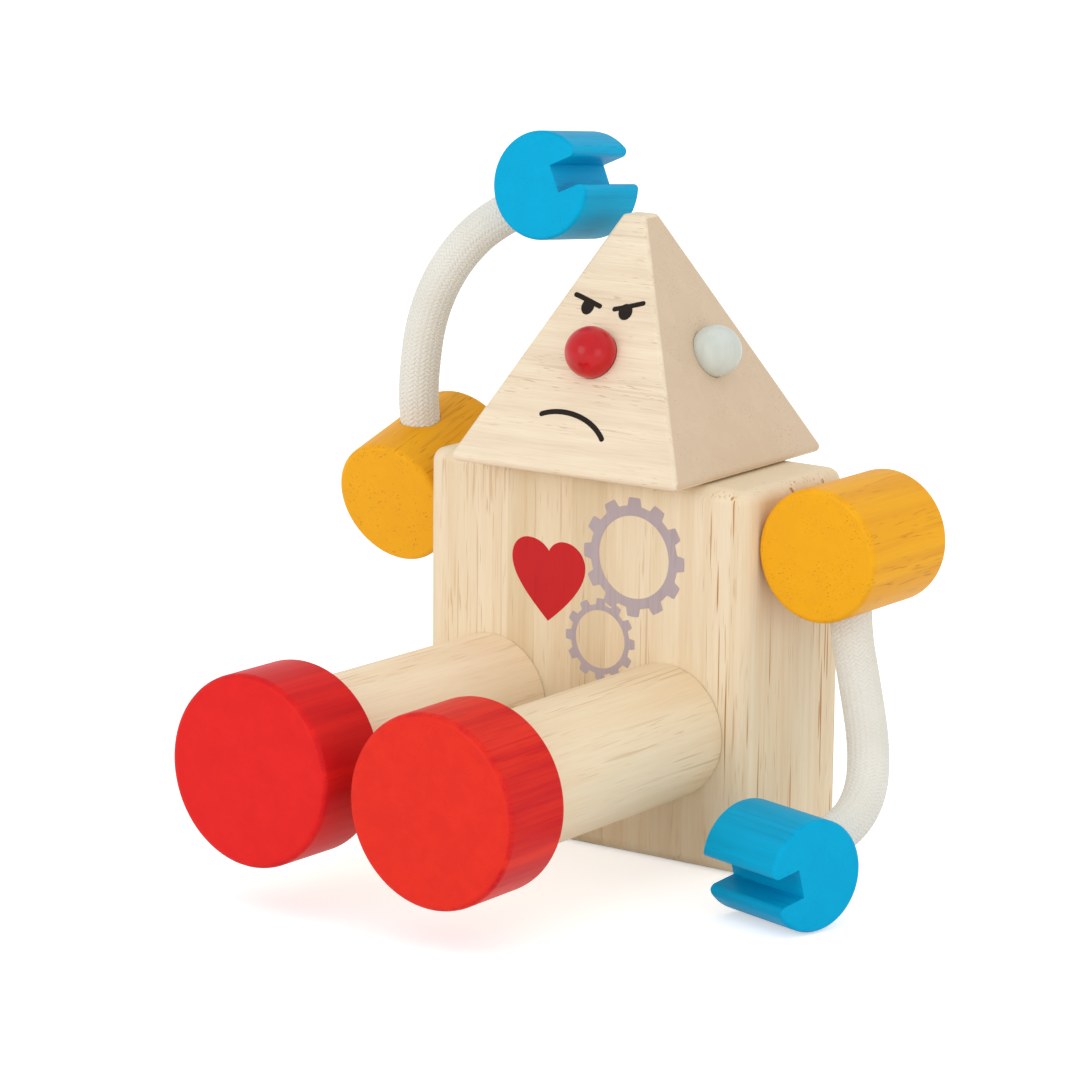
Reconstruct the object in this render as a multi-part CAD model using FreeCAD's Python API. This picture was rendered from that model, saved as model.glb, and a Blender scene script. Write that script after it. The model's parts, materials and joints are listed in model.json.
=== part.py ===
import FreeCAD, Part
import math
import os
from FreeCAD import Matrix, Rotation, Vector

# A sitting wooden toy robot: laminated torso, pyramid head on a peg, two straight legs with disc
# feet, and two rope arms that hang from turning shoulders and end in C-shaped gripping hands.
# Millimetres, +Z up, the robot faces -Y. The origin is the centre of the torso's underside.
# "left" is the -X side and "right" is the +X side, as seen by someone who faces the robot.

SIDES = {"left": -1, "right": 1}

# Torso: upright staves glued side by side, each glue line at a distance from the middle.
TORSO_WIDTH = 80.0
TORSO_DEPTH = 36.7
TORSO_HEIGHT = 79.5
TORSO_ROUND = 3.0
GLUE_LINES = (-19.2, -12.3, -2.9, 5.7, 22.7)

# Head: a square pyramid with a blunt tip, which turns on a peg glued into the torso. The peg stands
# a little off the torso's middle.
HEAD_CENTRE = (1.0, -0.8)
HEAD_BASE = 56.9
HEAD_TIP = 5.4
HEAD_HEIGHT = 50.6
HEAD_ROUND = 1.2
HEAD_TIP_ROUND = 1.2
HEAD_GAP = 0.3
HEAD_TURN = 0.9
PEG_DIAMETER = 12.0
PEG_IN_TORSO = 20.0
PEG_IN_HEAD = 14.0

# Nose and ears: one size of ball knob with a tenon, seated in a flat-bottomed recess.
BALL_DIAMETER = 10.7
BALL_PROUD = 1.7
RECESS_GAP = 0.08
TENON_DIAMETER = 5.0
TENON_LENGTH = 6.0
NOSE_HEIGHT = 23.5
NOSE_ASIDE = 0.3
EAR_HEIGHT = 23.1
EAR_BACK = {"left": 3.8, "right": 1.1}

# Legs and feet: dowels with the grain along them, butted on the torso's front. Splay turns a leg
# outwards and droop turns it down, in degrees.
LEG_DIAMETER = 28.0
LEG_LENGTH = {"left": 61.9, "right": 62.1}
LEG_HEIGHT = 28.0
LEG_ASIDE = {"left": 22.9, "right": 21.0}
LEG_SPLAY = {"left": 0.6, "right": 0.0}
LEG_DROOP = {"left": -0.35, "right": 0.2}
FOOT_DIAMETER = 39.0
FOOT_LENGTH = 18.0
FOOT_ROUND = 1.4
DOWEL_DIAMETER = 10.0
DOWEL_IN_TORSO = 18.0
DOWEL_IN_LEG = 18.0
DOWEL_IN_FOOT = 11.0

# Shoulders: cylinders that lie front to back against the torso's sides and turn on an axle, each
# a little below the torso's top.
SHOULDER_DIAMETER = 27.3
SHOULDER_LENGTH = 28.2
SHOULDER_ROUND = 1.2
SHOULDER_GAP = 0.2
SHOULDER_BACK = {"left": 0.5, "right": -0.5}
SHOULDER_DROP = {"left": 10.6, "right": 11.6}
SHOULDER_TILT = {"left": 17.56, "right": 0.0}
AXLE_DIAMETER = 8.0
AXLE_IN_TORSO = 15.5
AXLE_IN_SHOULDER = 18.0

# Rope arms. Each route is a list of points from the shoulder's centre: up and over on the left,
# down and forward on the right. The first and the last run lie in the shoulder and in the hand.
ROPE_DIAMETER = 8.4
ROPE_ROUTE = {
    "left": [(0.3, -1.6, 5.1), (0.3, -4.1, 13.0), (0.9, -5.1, 22.6), (2.7, -4.6, 36.2),
             (8.6, -3.1, 48.4), (18.5, -1.3, 57.9), (30.9, 0.2, 63.6)],
    "right": [(-0.4, 0.0, -5.3), (-0.4, 0.0, -16.4), (3.0, -0.8, -28.5), (8.3, -5.3, -39.6),
              (13.0, -13.7, -47.5), (13.5, -24.0, -52.9), (10.2, -34.6, -55.5)],
}
ARC_SHARE = 0.45
ROPE_END_GAP = 0.3
SHOULDER_SOCKET_GAP = 0.1
HAND_SOCKET_GAP = 0.3

# Hands: short cylinders with a gripping groove along them, opposite to the rope.
HAND_DIAMETER = 22.5
HAND_LENGTH = 21.8
HAND_ROUND = 0.8
HAND_ROPE_DEPTH = 7.0
HAND_AXIS = {"left": (-0.074, 0.991, -0.110), "right": (0.955, -0.295, 0.012)}
HIDDEN_END = {"left": 1, "right": -1}
GROOVE_WIDTH = 6.0
GROOVE_FLOOR = 3.8

# Brads: steel pins driven crosswise through the rope ends, one in each shoulder and each hand.
BRAD_DIAMETER = 1.4
BRAD_HEAD_DIAMETER = 2.6
BRAD_HEAD_LENGTH = 0.8
BRAD_SUNK = 0.3
BRAD_PAST_ROPE = 2.5
BRAD_FROM_ROPE_END = 3.2

# Clearances on the radius, and at the bottom of blind holes.
GLUE_GAP = 0.05
RUNNING_GAP = 0.08
PIN_GAP = 0.06
END_GAP = 0.8

UP = Vector(0, 0, 1)
BACK = Vector(0, 1, 0)
OUTWARD = Vector(1, 0, 0)


def rod(diameter, length, start, direction):
    """A plain cylinder from a start point along a direction."""
    return Part.makeCylinder(diameter / 2, length, start, direction)


def rounded_rod(diameter, length, start, direction, radius):
    """A cylinder with both end rims rounded."""
    shape = rod(diameter, length, start, direction)
    rims = [edge for edge in shape.Edges if isinstance(edge.Curve, Part.Circle)]
    return shape.makeFillet(radius, rims)


def shoulder_centre(side):
    across = SIDES[side] * (TORSO_WIDTH / 2 + SHOULDER_GAP + SHOULDER_DIAMETER / 2)
    return Vector(across, SHOULDER_BACK[side], TORSO_HEIGHT - SHOULDER_DROP[side])


def shoulder_axis(side):
    """The direction from the front end to the back end of a shoulder."""
    return Rotation(OUTWARD, SHOULDER_TILT[side]).multVec(BACK)


def route_points(side):
    return [shoulder_centre(side) + Vector(*point) for point in ROPE_ROUTE[side]]


def run_direction(start, end):
    return (end - start).normalize()


def hand_frame(side):
    """Centre, length direction and groove direction of a hand, which sits on its rope's end."""
    points = route_points(side)
    grip = run_direction(points[-2], points[-1])
    along = Vector(*HAND_AXIS[side])
    along = (along - grip * along.dot(grip)).normalize()
    centre = points[-1] + grip * (HAND_DIAMETER / 2 - HAND_ROPE_DEPTH)
    return centre, along, grip


# ---------------------------------------------------------------- torso and head

def peg_bore(extra_length):
    """The upright hole for the neck peg, from inside the torso to inside the head."""
    start = Vector(*HEAD_CENTRE, TORSO_HEIGHT - PEG_IN_TORSO - END_GAP)
    return rod(PEG_DIAMETER + 2 * GLUE_GAP, PEG_IN_TORSO + END_GAP + extra_length, start, UP)


def make_neck_peg():
    start = Vector(*HEAD_CENTRE, TORSO_HEIGHT - PEG_IN_TORSO)
    return rod(PEG_DIAMETER, PEG_IN_TORSO + HEAD_GAP + PEG_IN_HEAD, start, UP)


def axle_bore(side):
    """The running hole for a shoulder's axle in the torso's side."""
    depth = AXLE_IN_TORSO + END_GAP
    centre = shoulder_centre(side)
    start = Vector(SIDES[side] * (TORSO_WIDTH / 2 - depth), centre.y, centre.z)
    return rod(AXLE_DIAMETER + 2 * RUNNING_GAP, depth, start, OUTWARD * SIDES[side])


def make_torso_block():
    """The whole torso, rounded and bored, before it is divided into staves."""
    corner = Vector(-TORSO_WIDTH / 2, -TORSO_DEPTH / 2, 0)
    block = Part.makeBox(TORSO_WIDTH, TORSO_DEPTH, TORSO_HEIGHT, corner)
    block = block.makeFillet(TORSO_ROUND, block.Edges)
    block = block.cut(peg_bore(TORSO_ROUND))
    for side in SIDES:
        block = block.cut(axle_bore(side))
        block = block.cut(leg_dowel_bore(side))
    return block


def make_staves():
    """The torso divided at its glue lines, from -X to +X."""
    block = make_torso_block()
    limits = (-TORSO_WIDTH / 2,) + GLUE_LINES + (TORSO_WIDTH / 2,)
    staves = {}
    for number, (low, high) in enumerate(zip(limits, limits[1:]), start=1):
        corner = Vector(low, -TORSO_DEPTH, 0)
        slab = Part.makeBox(high - low, 2 * TORSO_DEPTH, TORSO_HEIGHT, corner)
        staves["torso_stave_%d" % number] = block.common(slab)
    return staves


def square(width, height):
    half = width / 2
    corners = [Vector(-half, -half, height), Vector(half, -half, height),
               Vector(half, half, height), Vector(-half, half, height)]
    return Part.makePolygon(corners + corners[:1])


def head_base_height():
    return TORSO_HEIGHT + HEAD_GAP


def face_lean():
    """The angle of the head's faces from upright, in radians."""
    return math.atan2((HEAD_BASE - HEAD_TIP) / 2, HEAD_HEIGHT)


def face_point(height, aside):
    """A point on the head's -Y face, at a height over the head's base."""
    return Vector(aside, height * math.tan(face_lean()) - HEAD_BASE / 2,
                  head_base_height() + height)


def knob_seats():
    """Place and outward direction of each ball knob, as if the head stood straight at the middle."""
    lean = face_lean()
    forward = Vector(0, -math.cos(lean), math.sin(lean))
    seats = {"nose": (face_point(NOSE_HEIGHT, NOSE_ASIDE), forward)}
    for side, sign in SIDES.items():
        quarter = Rotation(UP, 90.0 * sign)
        place = face_point(EAR_HEIGHT, sign * EAR_BACK[side])
        seats["ear_" + side] = (quarter.multVec(place), quarter.multVec(forward))
    return seats


def recess_depth():
    return BALL_DIAMETER / 2 - BALL_PROUD


def recess_diameter():
    """The recess is as wide as the ball where it goes into the head's face, with a little air."""
    return 2 * (math.sqrt((BALL_DIAMETER / 2) ** 2 - BALL_PROUD ** 2) + RECESS_GAP)


def make_knob(place, outward):
    """A ball with its tenon, its centre a little outside the head's face."""
    ball = Part.makeSphere(BALL_DIAMETER / 2, place + outward * BALL_PROUD, outward)
    foot = place - outward * (recess_depth() + TENON_LENGTH)
    tenon = rod(TENON_DIAMETER, recess_depth() + TENON_LENGTH, foot, outward)
    return ball.fuse(tenon).removeSplitter()


def knob_seat_cut(place, outward):
    """The recess round a ball knob and the bore for its tenon."""
    recess_floor = place - outward * recess_depth()
    recess = rod(recess_diameter(), 2 * recess_depth(), recess_floor, outward)
    bore_length = TENON_LENGTH + END_GAP
    bore = rod(TENON_DIAMETER + 2 * GLUE_GAP, bore_length,
               recess_floor - outward * bore_length, outward)
    return recess.fuse(bore)


def slanted(edge):
    low, high = sorted(vertex.Z for vertex in edge.Vertexes)
    return high - low > HEAD_HEIGHT / 2


def make_head_block():
    base = head_base_height()
    top = base + HEAD_HEIGHT
    block = Part.makeLoft([square(HEAD_BASE, base), square(HEAD_TIP, top)], True, True)
    corner_edges = [edge for edge in block.Edges if slanted(edge)]
    base_edges = [edge for edge in block.Edges if edge.BoundBox.ZMax < base + HEAD_GAP]
    block = block.makeFillet(HEAD_ROUND, corner_edges + base_edges)
    tip_edges = [edge for edge in block.Edges if edge.BoundBox.ZMin > top - HEAD_GAP]
    block = block.makeFillet(HEAD_TIP_ROUND, tip_edges)
    bore_depth = PEG_IN_HEAD + END_GAP
    block = block.cut(rod(PEG_DIAMETER + 2 * RUNNING_GAP, bore_depth, Vector(0, 0, base), UP))
    for place, outward in knob_seats().values():
        block = block.cut(knob_seat_cut(place, outward))
    return block


def make_head():
    """The head with its nose and ears, all put over the peg and turned by the same small angle."""
    pieces = {"head_block": make_head_block()}
    for name, (place, outward) in knob_seats().items():
        pieces["nose_ball" if name == "nose" else name] = make_knob(place, outward)
    for shape in pieces.values():
        shape.rotate(Vector(0, 0, 0), UP, HEAD_TURN)
        shape.translate(Vector(*HEAD_CENTRE, 0))
    return pieces


# ---------------------------------------------------------------- legs and feet

def leg_line(side):
    """The point where a leg's centre line leaves the torso, and the leg's direction."""
    root = Vector(SIDES[side] * LEG_ASIDE[side], -TORSO_DEPTH / 2, LEG_HEIGHT)
    down = Rotation(OUTWARD, LEG_DROOP[side]).multVec(-BACK)
    return root, Rotation(UP, SIDES[side] * LEG_SPLAY[side]).multVec(down)


def dowel_hole(start, direction, depth):
    """A glued dowel's hole, from a mouth at the start point into the wood."""
    return rod(DOWEL_DIAMETER + 2 * GLUE_GAP, depth + END_GAP, start, direction)


def leg_dowel_bore(side):
    root, forward = leg_line(side)
    mouth = root + forward
    return rod(DOWEL_DIAMETER + 2 * GLUE_GAP, DOWEL_IN_TORSO + END_GAP + 1, mouth, -forward)


def make_leg(side):
    """A leg, its root cut flush with the torso's front, bored at both ends for its dowels."""
    root, forward = leg_line(side)
    length = LEG_LENGTH[side]
    leg = rod(LEG_DIAMETER, length + LEG_DIAMETER, root - forward * LEG_DIAMETER, forward)
    front = Part.makeBox(TORSO_WIDTH * 2, length * 2, TORSO_HEIGHT,
                         Vector(-TORSO_WIDTH, root.y - length * 2, 0))
    leg = leg.common(front)
    leg = leg.cut(dowel_hole(root - forward, forward, DOWEL_IN_LEG + 1))
    return leg.cut(dowel_hole(root + forward * length, -forward, DOWEL_IN_LEG))


def make_leg_dowel(side):
    root, forward = leg_line(side)
    return rod(DOWEL_DIAMETER, DOWEL_IN_TORSO + DOWEL_IN_LEG,
               root - forward * DOWEL_IN_TORSO, forward)


def make_foot(side):
    root, forward = leg_line(side)
    back = root + forward * LEG_LENGTH[side]
    foot = rounded_rod(FOOT_DIAMETER, FOOT_LENGTH, back, forward, FOOT_ROUND)
    return foot.cut(dowel_hole(back, forward, DOWEL_IN_FOOT))


def make_foot_dowel(side):
    root, forward = leg_line(side)
    start = root + forward * (LEG_LENGTH[side] - DOWEL_IN_LEG)
    return rod(DOWEL_DIAMETER, DOWEL_IN_LEG + DOWEL_IN_FOOT, start, forward)


# ---------------------------------------------------------------- rope arms

def make_rope_path(points):
    """Straight runs joined by tangent arcs, and the radius of each arc."""
    edges, radii = [], []
    here = points[0]
    for before, corner, after in zip(points, points[1:], points[2:]):
        run_in = run_direction(before, corner)
        run_out = run_direction(corner, after)
        turn = run_in.getAngle(run_out)
        reach = ARC_SHARE * min((corner - before).Length, (after - corner).Length)
        radii.append(reach / math.tan(turn / 2))
        arc_start = corner - run_in * reach
        arc_end = corner + run_out * reach
        inward = (run_out - run_in).normalize()
        depth = radii[-1] * (1 / math.cos(turn / 2) - 1)
        edges.append(Part.LineSegment(here, arc_start).toShape())
        edges.append(Part.Arc(arc_start, corner + inward * depth, arc_end).toShape())
        here = arc_end
    edges.append(Part.LineSegment(here, points[-1]).toShape())
    return Part.Wire(edges), radii


def rope_tube(side, gap=0.0):
    """The tube along a route and its path, or the space round it where a gap is given."""
    points = route_points(side)
    path, radii = make_rope_path(points)
    profile = Part.Wire([Part.makeCircle(ROPE_DIAMETER / 2 + gap, points[0],
                                         run_direction(points[0], points[1]))])
    return path.makePipeShell([profile], True, False), path, radii


def make_rope(side):
    """A rope arm's tube, from inside the shoulder to inside the hand, pierced by its brads."""
    tube, path, radii = rope_tube(side)
    expected = math.pi * (ROPE_DIAMETER / 2) ** 2 * path.Length
    print("rope_%s: length %.1f, arc radii %s, volume / (section x length) %.4f"
          % (side, path.Length, ["%.1f" % radius for radius in radii], tube.Volume / expected))
    for start, inward, length in (shoulder_brad_line(side), hand_brad_line(side)):
        tube = tube.cut(rod(BRAD_DIAMETER + 2 * PIN_GAP, length, start, inward))
    return tube


def rope_socket(side, end, inward, gap):
    """The blind hole that a rope's end is glued into: it follows the rope and ends past it."""
    bottom = rod(ROPE_DIAMETER + 2 * gap, 2 * ROPE_END_GAP, end - inward * ROPE_END_GAP, inward)
    return rope_tube(side, gap)[0].fuse(bottom)


def axle_line(side):
    """Start, direction and length of a shoulder's axle, from inside the torso outwards."""
    centre = shoulder_centre(side)
    start = Vector(SIDES[side] * (TORSO_WIDTH / 2 - AXLE_IN_TORSO), centre.y, centre.z)
    length = AXLE_IN_TORSO + SHOULDER_GAP + AXLE_IN_SHOULDER
    return start, OUTWARD * SIDES[side], length


def make_axle(side):
    start, outward, length = axle_line(side)
    return rod(AXLE_DIAMETER, length, start, outward)


def make_shoulder(side):
    centre = shoulder_centre(side)
    along = shoulder_axis(side)
    points = route_points(side)
    shoulder = rounded_rod(SHOULDER_DIAMETER, SHOULDER_LENGTH,
                           centre - along * (SHOULDER_LENGTH / 2), along, SHOULDER_ROUND)
    start, outward, length = axle_line(side)
    shoulder = shoulder.cut(rod(AXLE_DIAMETER + 2 * GLUE_GAP, length + END_GAP, start, outward))
    inward = run_direction(points[1], points[0])
    shoulder = shoulder.cut(rope_socket(side, points[0], inward, SHOULDER_SOCKET_GAP))
    return shoulder.cut(make_brad(*shoulder_brad_line(side), PIN_GAP))


def groove_block(centre, along, grip):
    """The space of a hand's gripping groove, open at both ends and on the grip side."""
    across = along.cross(grip)
    frame = Matrix(grip.x, across.x, along.x, centre.x,
                   grip.y, across.y, along.y, centre.y,
                   grip.z, across.z, along.z, centre.z, 0, 0, 0, 1)
    block = Part.makeBox(HAND_DIAMETER, GROOVE_WIDTH, 2 * HAND_LENGTH,
                         Vector(GROOVE_FLOOR, -GROOVE_WIDTH / 2, -HAND_LENGTH))
    return block.transformGeometry(frame)


def make_hand(side):
    centre, along, grip = hand_frame(side)
    hand = rounded_rod(HAND_DIAMETER, HAND_LENGTH,
                       centre - along * (HAND_LENGTH / 2), along, HAND_ROUND)
    hand = hand.cut(groove_block(centre, along, grip))
    hand = hand.cut(rope_socket(side, route_points(side)[-1], grip, HAND_SOCKET_GAP))
    return hand.cut(make_brad(*hand_brad_line(side), PIN_GAP))


def shoulder_brad_line(side):
    """Start at the back end face, inward direction and length of a shoulder's brad."""
    centre, along, points = shoulder_centre(side), shoulder_axis(side), route_points(side)
    pierced = points[0] + run_direction(points[0], points[1]) * BRAD_FROM_ROPE_END
    return brad_line(pierced, centre, along, SHOULDER_LENGTH / 2)


def hand_brad_line(side):
    """Start at the hand's hidden end face, inward direction and length of its brad."""
    centre, along, grip = hand_frame(side)
    pierced = route_points(side)[-1] - grip * BRAD_FROM_ROPE_END
    return brad_line(pierced, centre, along * HIDDEN_END[side], HAND_LENGTH / 2)


def brad_line(pierced, centre, outward, half_length):
    to_face = half_length - (pierced - centre).dot(outward) - BRAD_SUNK
    return pierced + outward * to_face, -outward, to_face + ROPE_DIAMETER / 2 + BRAD_PAST_ROPE


def make_brad(start, inward, length, gap=0.0):
    """A headed pin, or its hole where a gap is given, which then runs out through the face."""
    shank = rod(BRAD_DIAMETER + 2 * gap, length + gap, start, inward)
    outer = start - inward * BRAD_SUNK if gap else start
    head_length = BRAD_HEAD_LENGTH + (BRAD_SUNK + gap if gap else 0)
    return shank.fuse(rod(BRAD_HEAD_DIAMETER + 2 * gap, head_length, outer, inward))


# ---------------------------------------------------------------- the whole robot

def make_robot():
    """Every sub-part by its name."""
    pieces = make_staves()
    pieces["neck_peg"] = make_neck_peg()
    pieces.update(make_head())
    for side in SIDES:
        pieces["leg_" + side] = make_leg(side)
        pieces["leg_dowel_" + side] = make_leg_dowel(side)
        pieces["foot_" + side] = make_foot(side)
        pieces["foot_dowel_" + side] = make_foot_dowel(side)
        pieces["shoulder_" + side] = make_shoulder(side)
        pieces["shoulder_axle_" + side] = make_axle(side)
        pieces["shoulder_brad_" + side] = make_brad(*shoulder_brad_line(side))
        pieces["rope_arm_" + side] = make_rope(side)
        pieces["hand_" + side] = make_hand(side)
        pieces["hand_brad_" + side] = make_brad(*hand_brad_line(side))
    return pieces


os.makedirs("parts", exist_ok=True)
for node, shape in make_robot().items():
    solids = shape.Solids
    print("%-22s solids %d, volume %.1f, valid %s"
          % (node, len(solids), shape.Volume, shape.isValid()))
    solid = solids[0] if len(solids) == 1 else Part.makeCompound(solids)
    solid.exportStep("parts/%s.step" % node)
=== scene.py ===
"""A sitting wooden toy robot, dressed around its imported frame.

Each sub-assembly is a class that holds its sizes as fields, builds its meshes with modelling
operators and dresses them in the finishes that the maker used: bare rubberwood, stained
rubberwood, lacquered balls, printed marks and braided rope. Lengths are in metres, +Z is up and
the robot faces -Y. The left side is the -X side, as seen by someone who faces the robot.
"""

import json
import logging
import math
from collections.abc import Callable, Iterator, Sequence
from contextlib import contextmanager
from dataclasses import dataclass, field, replace
from enum import Enum

import bmesh
import bpy
import numpy as np
from bpy.types import Material, Node, NodeSocket, Object
from mathutils import Matrix, Vector

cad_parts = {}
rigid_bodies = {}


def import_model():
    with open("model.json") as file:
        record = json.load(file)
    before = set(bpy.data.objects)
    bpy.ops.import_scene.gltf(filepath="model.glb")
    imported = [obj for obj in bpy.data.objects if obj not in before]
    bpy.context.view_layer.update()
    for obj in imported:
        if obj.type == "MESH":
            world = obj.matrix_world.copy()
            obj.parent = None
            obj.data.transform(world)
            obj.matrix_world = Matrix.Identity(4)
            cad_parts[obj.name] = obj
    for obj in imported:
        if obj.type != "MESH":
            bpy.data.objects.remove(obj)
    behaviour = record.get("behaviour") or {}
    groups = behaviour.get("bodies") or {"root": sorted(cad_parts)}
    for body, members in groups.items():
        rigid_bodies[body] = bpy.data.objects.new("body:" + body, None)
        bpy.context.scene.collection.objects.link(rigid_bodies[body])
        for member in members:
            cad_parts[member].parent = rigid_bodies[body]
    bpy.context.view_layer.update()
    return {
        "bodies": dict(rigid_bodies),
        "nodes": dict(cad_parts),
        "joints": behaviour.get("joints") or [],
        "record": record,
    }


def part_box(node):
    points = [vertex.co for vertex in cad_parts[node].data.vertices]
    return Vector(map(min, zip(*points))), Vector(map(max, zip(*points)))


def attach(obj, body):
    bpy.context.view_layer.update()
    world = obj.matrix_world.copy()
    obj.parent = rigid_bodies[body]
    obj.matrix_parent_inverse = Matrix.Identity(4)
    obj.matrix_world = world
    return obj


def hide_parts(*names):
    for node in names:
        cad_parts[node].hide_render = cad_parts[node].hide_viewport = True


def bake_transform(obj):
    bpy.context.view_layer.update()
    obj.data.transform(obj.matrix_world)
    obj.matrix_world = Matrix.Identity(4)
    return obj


LOG = logging.getLogger("toy_robot")
MM = 0.001
UP = Vector((0, 0, 1))
BACK = Vector((0, 1, 0))
FORWARD = Vector((0, -1, 0))
OUTWARD = Vector((1, 0, 0))

Colour = tuple[int, int, int]
Spot = tuple[float, float]
Outline = list[Spot]


class Side(Enum):
    """The two sides of the robot, each with the sign of its X."""

    LEFT = -1
    RIGHT = 1

    @property
    def word(self) -> str:
        """The side's word in the names of nodes, bodies and pieces."""
        return self.name.lower()


class Cut(Enum):
    """What a boolean modifier does with its second solid."""

    REMOVE = "DIFFERENCE"
    ADD = "UNION"


class Pick(Enum):
    """The kind of element that an edit-mode step selects."""

    EDGE = "EDGE"
    FACE = "FACE"


# ------------------------------------------------------------------------------ modelling bench

class Bench:
    """Modelling operators on one piece at a time, as they are used by hand."""

    ROD_SIDES = 128
    BORE_SIDES = 64
    OVERRUN = 1.0 * MM
    SHARP = math.radians(30)
    CREASE = math.radians(50)

    @staticmethod
    def clear_selection() -> None:
        """Leaves edit mode and deselects every object."""
        if bpy.context.mode != "OBJECT":
            bpy.ops.object.mode_set(mode="OBJECT")
        bpy.ops.object.select_all(action="DESELECT")

    @classmethod
    def activate(cls, piece: Object) -> None:
        """Makes a piece the only selected and the active one.

        Args:
            piece: The piece to work on.
        """
        cls.clear_selection()
        piece.select_set(True)
        bpy.context.view_layer.objects.active = piece

    @classmethod
    def named(cls, name: str) -> Object:
        """Names the new primitive and applies its place, so that its object is at the origin.

        Args:
            name: The piece's name.

        Returns:
            The active object.
        """
        piece = bpy.context.object
        piece.name = name
        piece.data.name = name
        bpy.ops.object.transform_apply(location=True, rotation=True, scale=True)
        return piece

    @classmethod
    def place(cls, piece: Object, frame: Matrix) -> Object:
        """Moves a piece into a frame and applies the move to its mesh.

        Args:
            piece: The piece, modelled about the origin.
            frame: The frame that it goes to.

        Returns:
            The same piece.
        """
        cls.activate(piece)
        piece.matrix_world = frame
        bpy.ops.object.transform_apply(location=True, rotation=True, scale=True)
        return piece

    @classmethod
    def rod(cls, name: str, radius: float, start: Vector, end: Vector,
            sides: int = ROD_SIDES) -> Object:
        """Adds a closed cylinder between two points.

        Args:
            name: The piece's name.
            radius: The cylinder's radius.
            start: The middle of its first end.
            end: The middle of its second end.
            sides: How many flats go round it.

        Returns:
            The cylinder.
        """
        cls.clear_selection()
        along = end - start
        bpy.ops.mesh.primitive_cylinder_add(
            vertices=sides, radius=radius, depth=along.length, location=(start + end) / 2,
            rotation=UP.rotation_difference(along).to_euler())
        return cls.named(name)

    @classmethod
    def block(cls, name: str, low: Vector, high: Vector) -> Object:
        """Adds a box between two corners.

        Args:
            name: The piece's name.
            low: Its lowest corner.
            high: Its highest corner.

        Returns:
            The box.
        """
        cls.clear_selection()
        bpy.ops.mesh.primitive_cube_add(size=1, location=(low + high) / 2, scale=high - low)
        return cls.named(name)

    @classmethod
    def ball(cls, name: str, radius: float, centre: Vector, pole: Vector,
             segments: int = 64) -> Object:
        """Adds a ball whose poles lie along a direction.

        Args:
            name: The piece's name.
            radius: The ball's radius.
            centre: Its centre.
            pole: The direction of its poles.
            segments: How many segments go round it.

        Returns:
            The ball.
        """
        cls.clear_selection()
        bpy.ops.mesh.primitive_uv_sphere_add(
            segments=segments, ring_count=segments // 2, radius=radius, location=centre,
            rotation=UP.rotation_difference(pole).to_euler())
        return cls.named(name)

    @classmethod
    @contextmanager
    def editing(cls, piece: Object, kind: Pick) -> Iterator[bmesh.types.BMesh]:
        """Opens a piece in edit mode with nothing selected, and closes it afterwards.

        Args:
            piece: The piece to edit.
            kind: What is going to be selected.

        Yields:
            The mesh being edited.
        """
        cls.activate(piece)
        bpy.ops.object.mode_set(mode="EDIT")
        bpy.ops.mesh.select_mode(type=kind.value)
        bpy.ops.mesh.select_all(action="DESELECT")
        yield bmesh.from_edit_mesh(piece.data)
        bpy.ops.object.mode_set(mode="OBJECT")

    @classmethod
    def round_edges(cls, piece: Object, radius: float, segments: int,
                    chosen: Callable[[bmesh.types.BMEdge], bool]) -> None:
        """Bevels the chosen edges round.

        Args:
            piece: The piece to round.
            radius: How far the rounding reaches from the edge.
            segments: The number of flats across the rounding.
            chosen: Says whether an edge is rounded.
        """
        with cls.editing(piece, Pick.EDGE) as mesh:
            for edge in mesh.edges:
                edge.select_set(chosen(edge))
            bpy.ops.mesh.bevel(offset=radius, segments=segments, profile=0.5, affect="EDGES")

    @classmethod
    def is_crease(cls, edge: bmesh.types.BMEdge) -> bool:
        """Says whether an edge is a sharp outer corner."""
        return len(edge.link_faces) == 2 and edge.calc_face_angle_signed(0) > cls.CREASE

    @classmethod
    def slice_off(cls, piece: Object, place: Vector, outward: Vector) -> None:
        """Cuts a piece at a plane, drops what lies outside and closes the cut.

        Args:
            piece: The piece to cut.
            place: A point on the plane.
            outward: The plane's normal, towards the part that goes.
        """
        with cls.editing(piece, Pick.FACE):
            bpy.ops.mesh.select_all(action="SELECT")
            bpy.ops.mesh.bisect(plane_co=place, plane_no=outward, use_fill=True,
                                clear_outer=True)

    @staticmethod
    def modify(piece: Object, kind: str, **settings: object) -> None:
        """Adds a modifier to the active piece and applies it.

        Args:
            piece: The piece, which is the active object.
            kind: The modifier's type.
            settings: Its properties by name.
        """
        bpy.ops.object.modifier_add(type=kind)
        modifier = piece.modifiers[-1]
        for name, value in settings.items():
            setattr(modifier, name, value)
        bpy.ops.object.modifier_apply(modifier=modifier.name)

    @staticmethod
    def link(name: str, data: bpy.types.ID) -> Object:
        """Makes an object of some data and puts it in the scene.

        Args:
            name: The object's name.
            data: Its mesh, curve, lamp or camera.

        Returns:
            The object.
        """
        made = bpy.data.objects.new(name, data)
        bpy.context.scene.collection.objects.link(made)
        return made

    @classmethod
    def combine(cls, piece: Object, tool: Object, cut: Cut) -> None:
        """Applies a boolean modifier with a second solid, which is then thrown away.

        Args:
            piece: The piece that is changed.
            tool: The solid that changes it.
            cut: What becomes of the two.
        """
        cls.activate(piece)
        cls.modify(piece, "BOOLEAN", operation=cut.value, solver="EXACT", object=tool)
        bpy.data.objects.remove(tool, do_unlink=True)

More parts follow.
